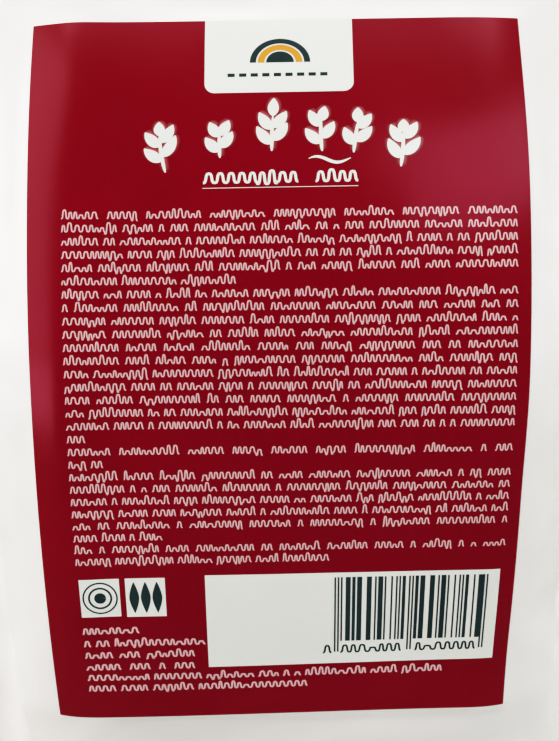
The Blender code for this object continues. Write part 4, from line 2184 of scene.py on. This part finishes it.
@dataclass
class Studio:
    """The camera, the lights and the pale floor."""

    lens: float = 27.206
    camera_place: Triple = (0.00208, -0.13986, 0.13952)
    camera_look: Triple = (-0.01623, 0.98435, -0.17545)
    camera_roll: float = -0.769
    sensor: float = 36.0
    clip: Couple = (0.01, 20.0)
    aim: Triple = (0.0, 0.0, 0.13)
    floor_radius: float = 1.6
    floor_curve: float = 0.5
    wall_height: float = 1.6
    floor_sides: int = 96
    flat_rings: int = 7
    bend_rings: int = 11
    floor_light: Rgba = (0.53, 0.525, 0.515, 1.0)
    floor_deep: Rgba = (0.51, 0.505, 0.495, 1.0)
    floor_mottle: float = 3.0
    floor_roughness: float = 0.9
    floor_gloss: float = 0.2
    air: Rgba = (0.95, 0.97, 1.0, 1.0)
    air_strength: float = 0.12
    lights: tuple[SoftLight, ...] = (
        SoftLight("light_left", -53.0, 27.0, 1.3, 0.50, 1.10, 2.9, (1.0, 0.955, 0.925)),
        SoftLight("light_left_low", -50.0, -3.0, 0.9, 0.26, 0.16, 0.36, (1.0, 0.96, 0.94)),
        SoftLight("light_left_side", -84.0, 17.0, 1.3, 0.70, 0.80, 5.9, (1.0, 0.955, 0.935), 130.0),
        SoftLight("light_right_side", 82.0, 16.0, 1.3, 0.60, 0.75, 4.0, (0.98, 0.99, 0.98), 130.0),
        SoftLight("light_right_window", 35.0, 35.5, 1.4, 0.85, 0.48, 3.0, (0.92, 0.98, 1.0)),
        SoftLight("light_top", 0.0, 80.0, 1.3, 1.40, 0.70, 13.2, (1.0, 0.99, 0.98)),
        SoftLight("light_back_left", -125.0, 26.0, 1.5, 0.8, 1.0, 2.6, (1.0, 0.98, 0.95), 130.0),
        SoftLight("light_back_right", 140.0, 40.0, 1.5, 0.9, 0.9, 1.0, (0.95, 0.98, 1.0), 130.0),
    )

    def build(self) -> None:
        """Set up the camera, the lights, the world and the floor."""
        self.camera()
        for light in self.lights:
            light.build(Vector(self.aim))
        self.world()
        self.floor()

    def camera(self) -> None:
        """Place the camera where the photograph was taken from."""
        data = bpy.data.cameras.new("camera")
        data.sensor_width = self.sensor
        data.lens = self.lens
        data.clip_start, data.clip_end = self.clip
        camera = bpy.data.objects.new("camera", data)
        bpy.context.scene.collection.objects.link(camera)
        look = Vector(self.camera_look).normalized()
        roll = Matrix.Rotation(math.radians(self.camera_roll), 4, "Z").to_quaternion()
        camera.location = self.camera_place
        camera.rotation_mode = "QUATERNION"
        camera.rotation_quaternion = look.to_track_quat("-Z", "Y") @ roll
        bpy.context.scene.camera = camera

    def world(self) -> None:
        """Fill the room with a little even light."""
        world = bpy.data.worlds.new("studio_air")
        world.use_nodes = True
        shade = world.node_tree.nodes["Background"]
        shade.inputs["Color"].default_value = self.air
        shade.inputs["Strength"].default_value = self.air_strength
        bpy.context.scene.world = world

    def floor(self) -> None:
        """Lay a pale floor that curves up into a wall all round."""
        around = self.floor_sides
        flat = np.linspace(0.0, self.floor_radius - self.floor_curve, self.flat_rings + 1)[1:]
        bend = np.linspace(0.0, math.pi / 2, self.bend_rings + 1)[1:]
        reach = [*flat, *(flat[-1] + self.floor_curve * np.sin(bend)), self.floor_radius]
        rise = [*(0.0 * flat), *(self.floor_curve * (1.0 - np.cos(bend))), self.wall_height]
        turns = np.linspace(0.0, 2.0 * math.pi, around, endpoint=False)
        points = [[r * math.cos(t), r * math.sin(t), z] for r, z in zip(reach, rise) for t in turns]
        centre = len(points)
        points.append([0.0, 0.0, 0.0])
        faces = []
        for ring in range(len(reach) - 1):
            for step in range(around):
                first, after = ring * around + step, ring * around + (step + 1) % around
                faces.append([first, first + around, after + around, after])
        faces.extend([step, (step + 1) % around, centre] for step in range(around))
        floor = new_object("studio_floor", np.array(points), faces, self.floor_finish())
        floor.visible_glossy = False

    def floor_finish(self) -> bpy.types.Material:
        """Build the floor's plain pale matte finish.

        Returns:
            The material.
        """
        material = bpy.data.materials.new("pale_floor")
        material.use_nodes = True
        board = NodeBoard(material.node_tree)
        shader = material.node_tree.nodes["Principled BSDF"]
        place = board.add("ShaderNodeTexCoord").outputs["Object"]
        tone = board.place(
            EFFECTS.mottle, Place=place, Light=self.floor_light, Deep=self.floor_deep,
            Scale=self.floor_mottle,
        )
        board.join(tone.outputs["Colour"], shader.inputs["Base Color"])
        shader.inputs["Roughness"].default_value = self.floor_roughness
        shader.inputs["Specular IOR Level"].default_value = self.floor_gloss
        return material


def main() -> None:
    """Build the pouch, its label and print, and the studio, in order."""
    logging.basicConfig(level=logging.INFO, format="%(name)s: %(message)s")
    ToneCurve().apply()
    label_place = LabelPlace()
    film = PouchFilm(FilmForm(), label_place)
    film.shape()
    film.build(FilmFinish().build("white_film_satin"))
    bed = Label(label_place, film).build(BURGUNDY.build("burgundy_laminate"))
    inks = {
        Slot.WHITE: WHITE_INK.build("white_ink"),
        Slot.DARK: DARK_INK.build("dark_ink"),
        Slot.AMBER: AMBER_INK.build("amber_ink"),
    }
    pink, halo = PINK_INK.build("pink_ink"), HALO_INK.build("halo_ink")
    Tab(bed).build(inks)
    Heading(bed).build(inks[Slot.WHITE], halo)
    BodyPrint(bed).build(pink)
    Fields(bed).build(inks)
    Studio().build()


if __name__ == "__main__":
    main()
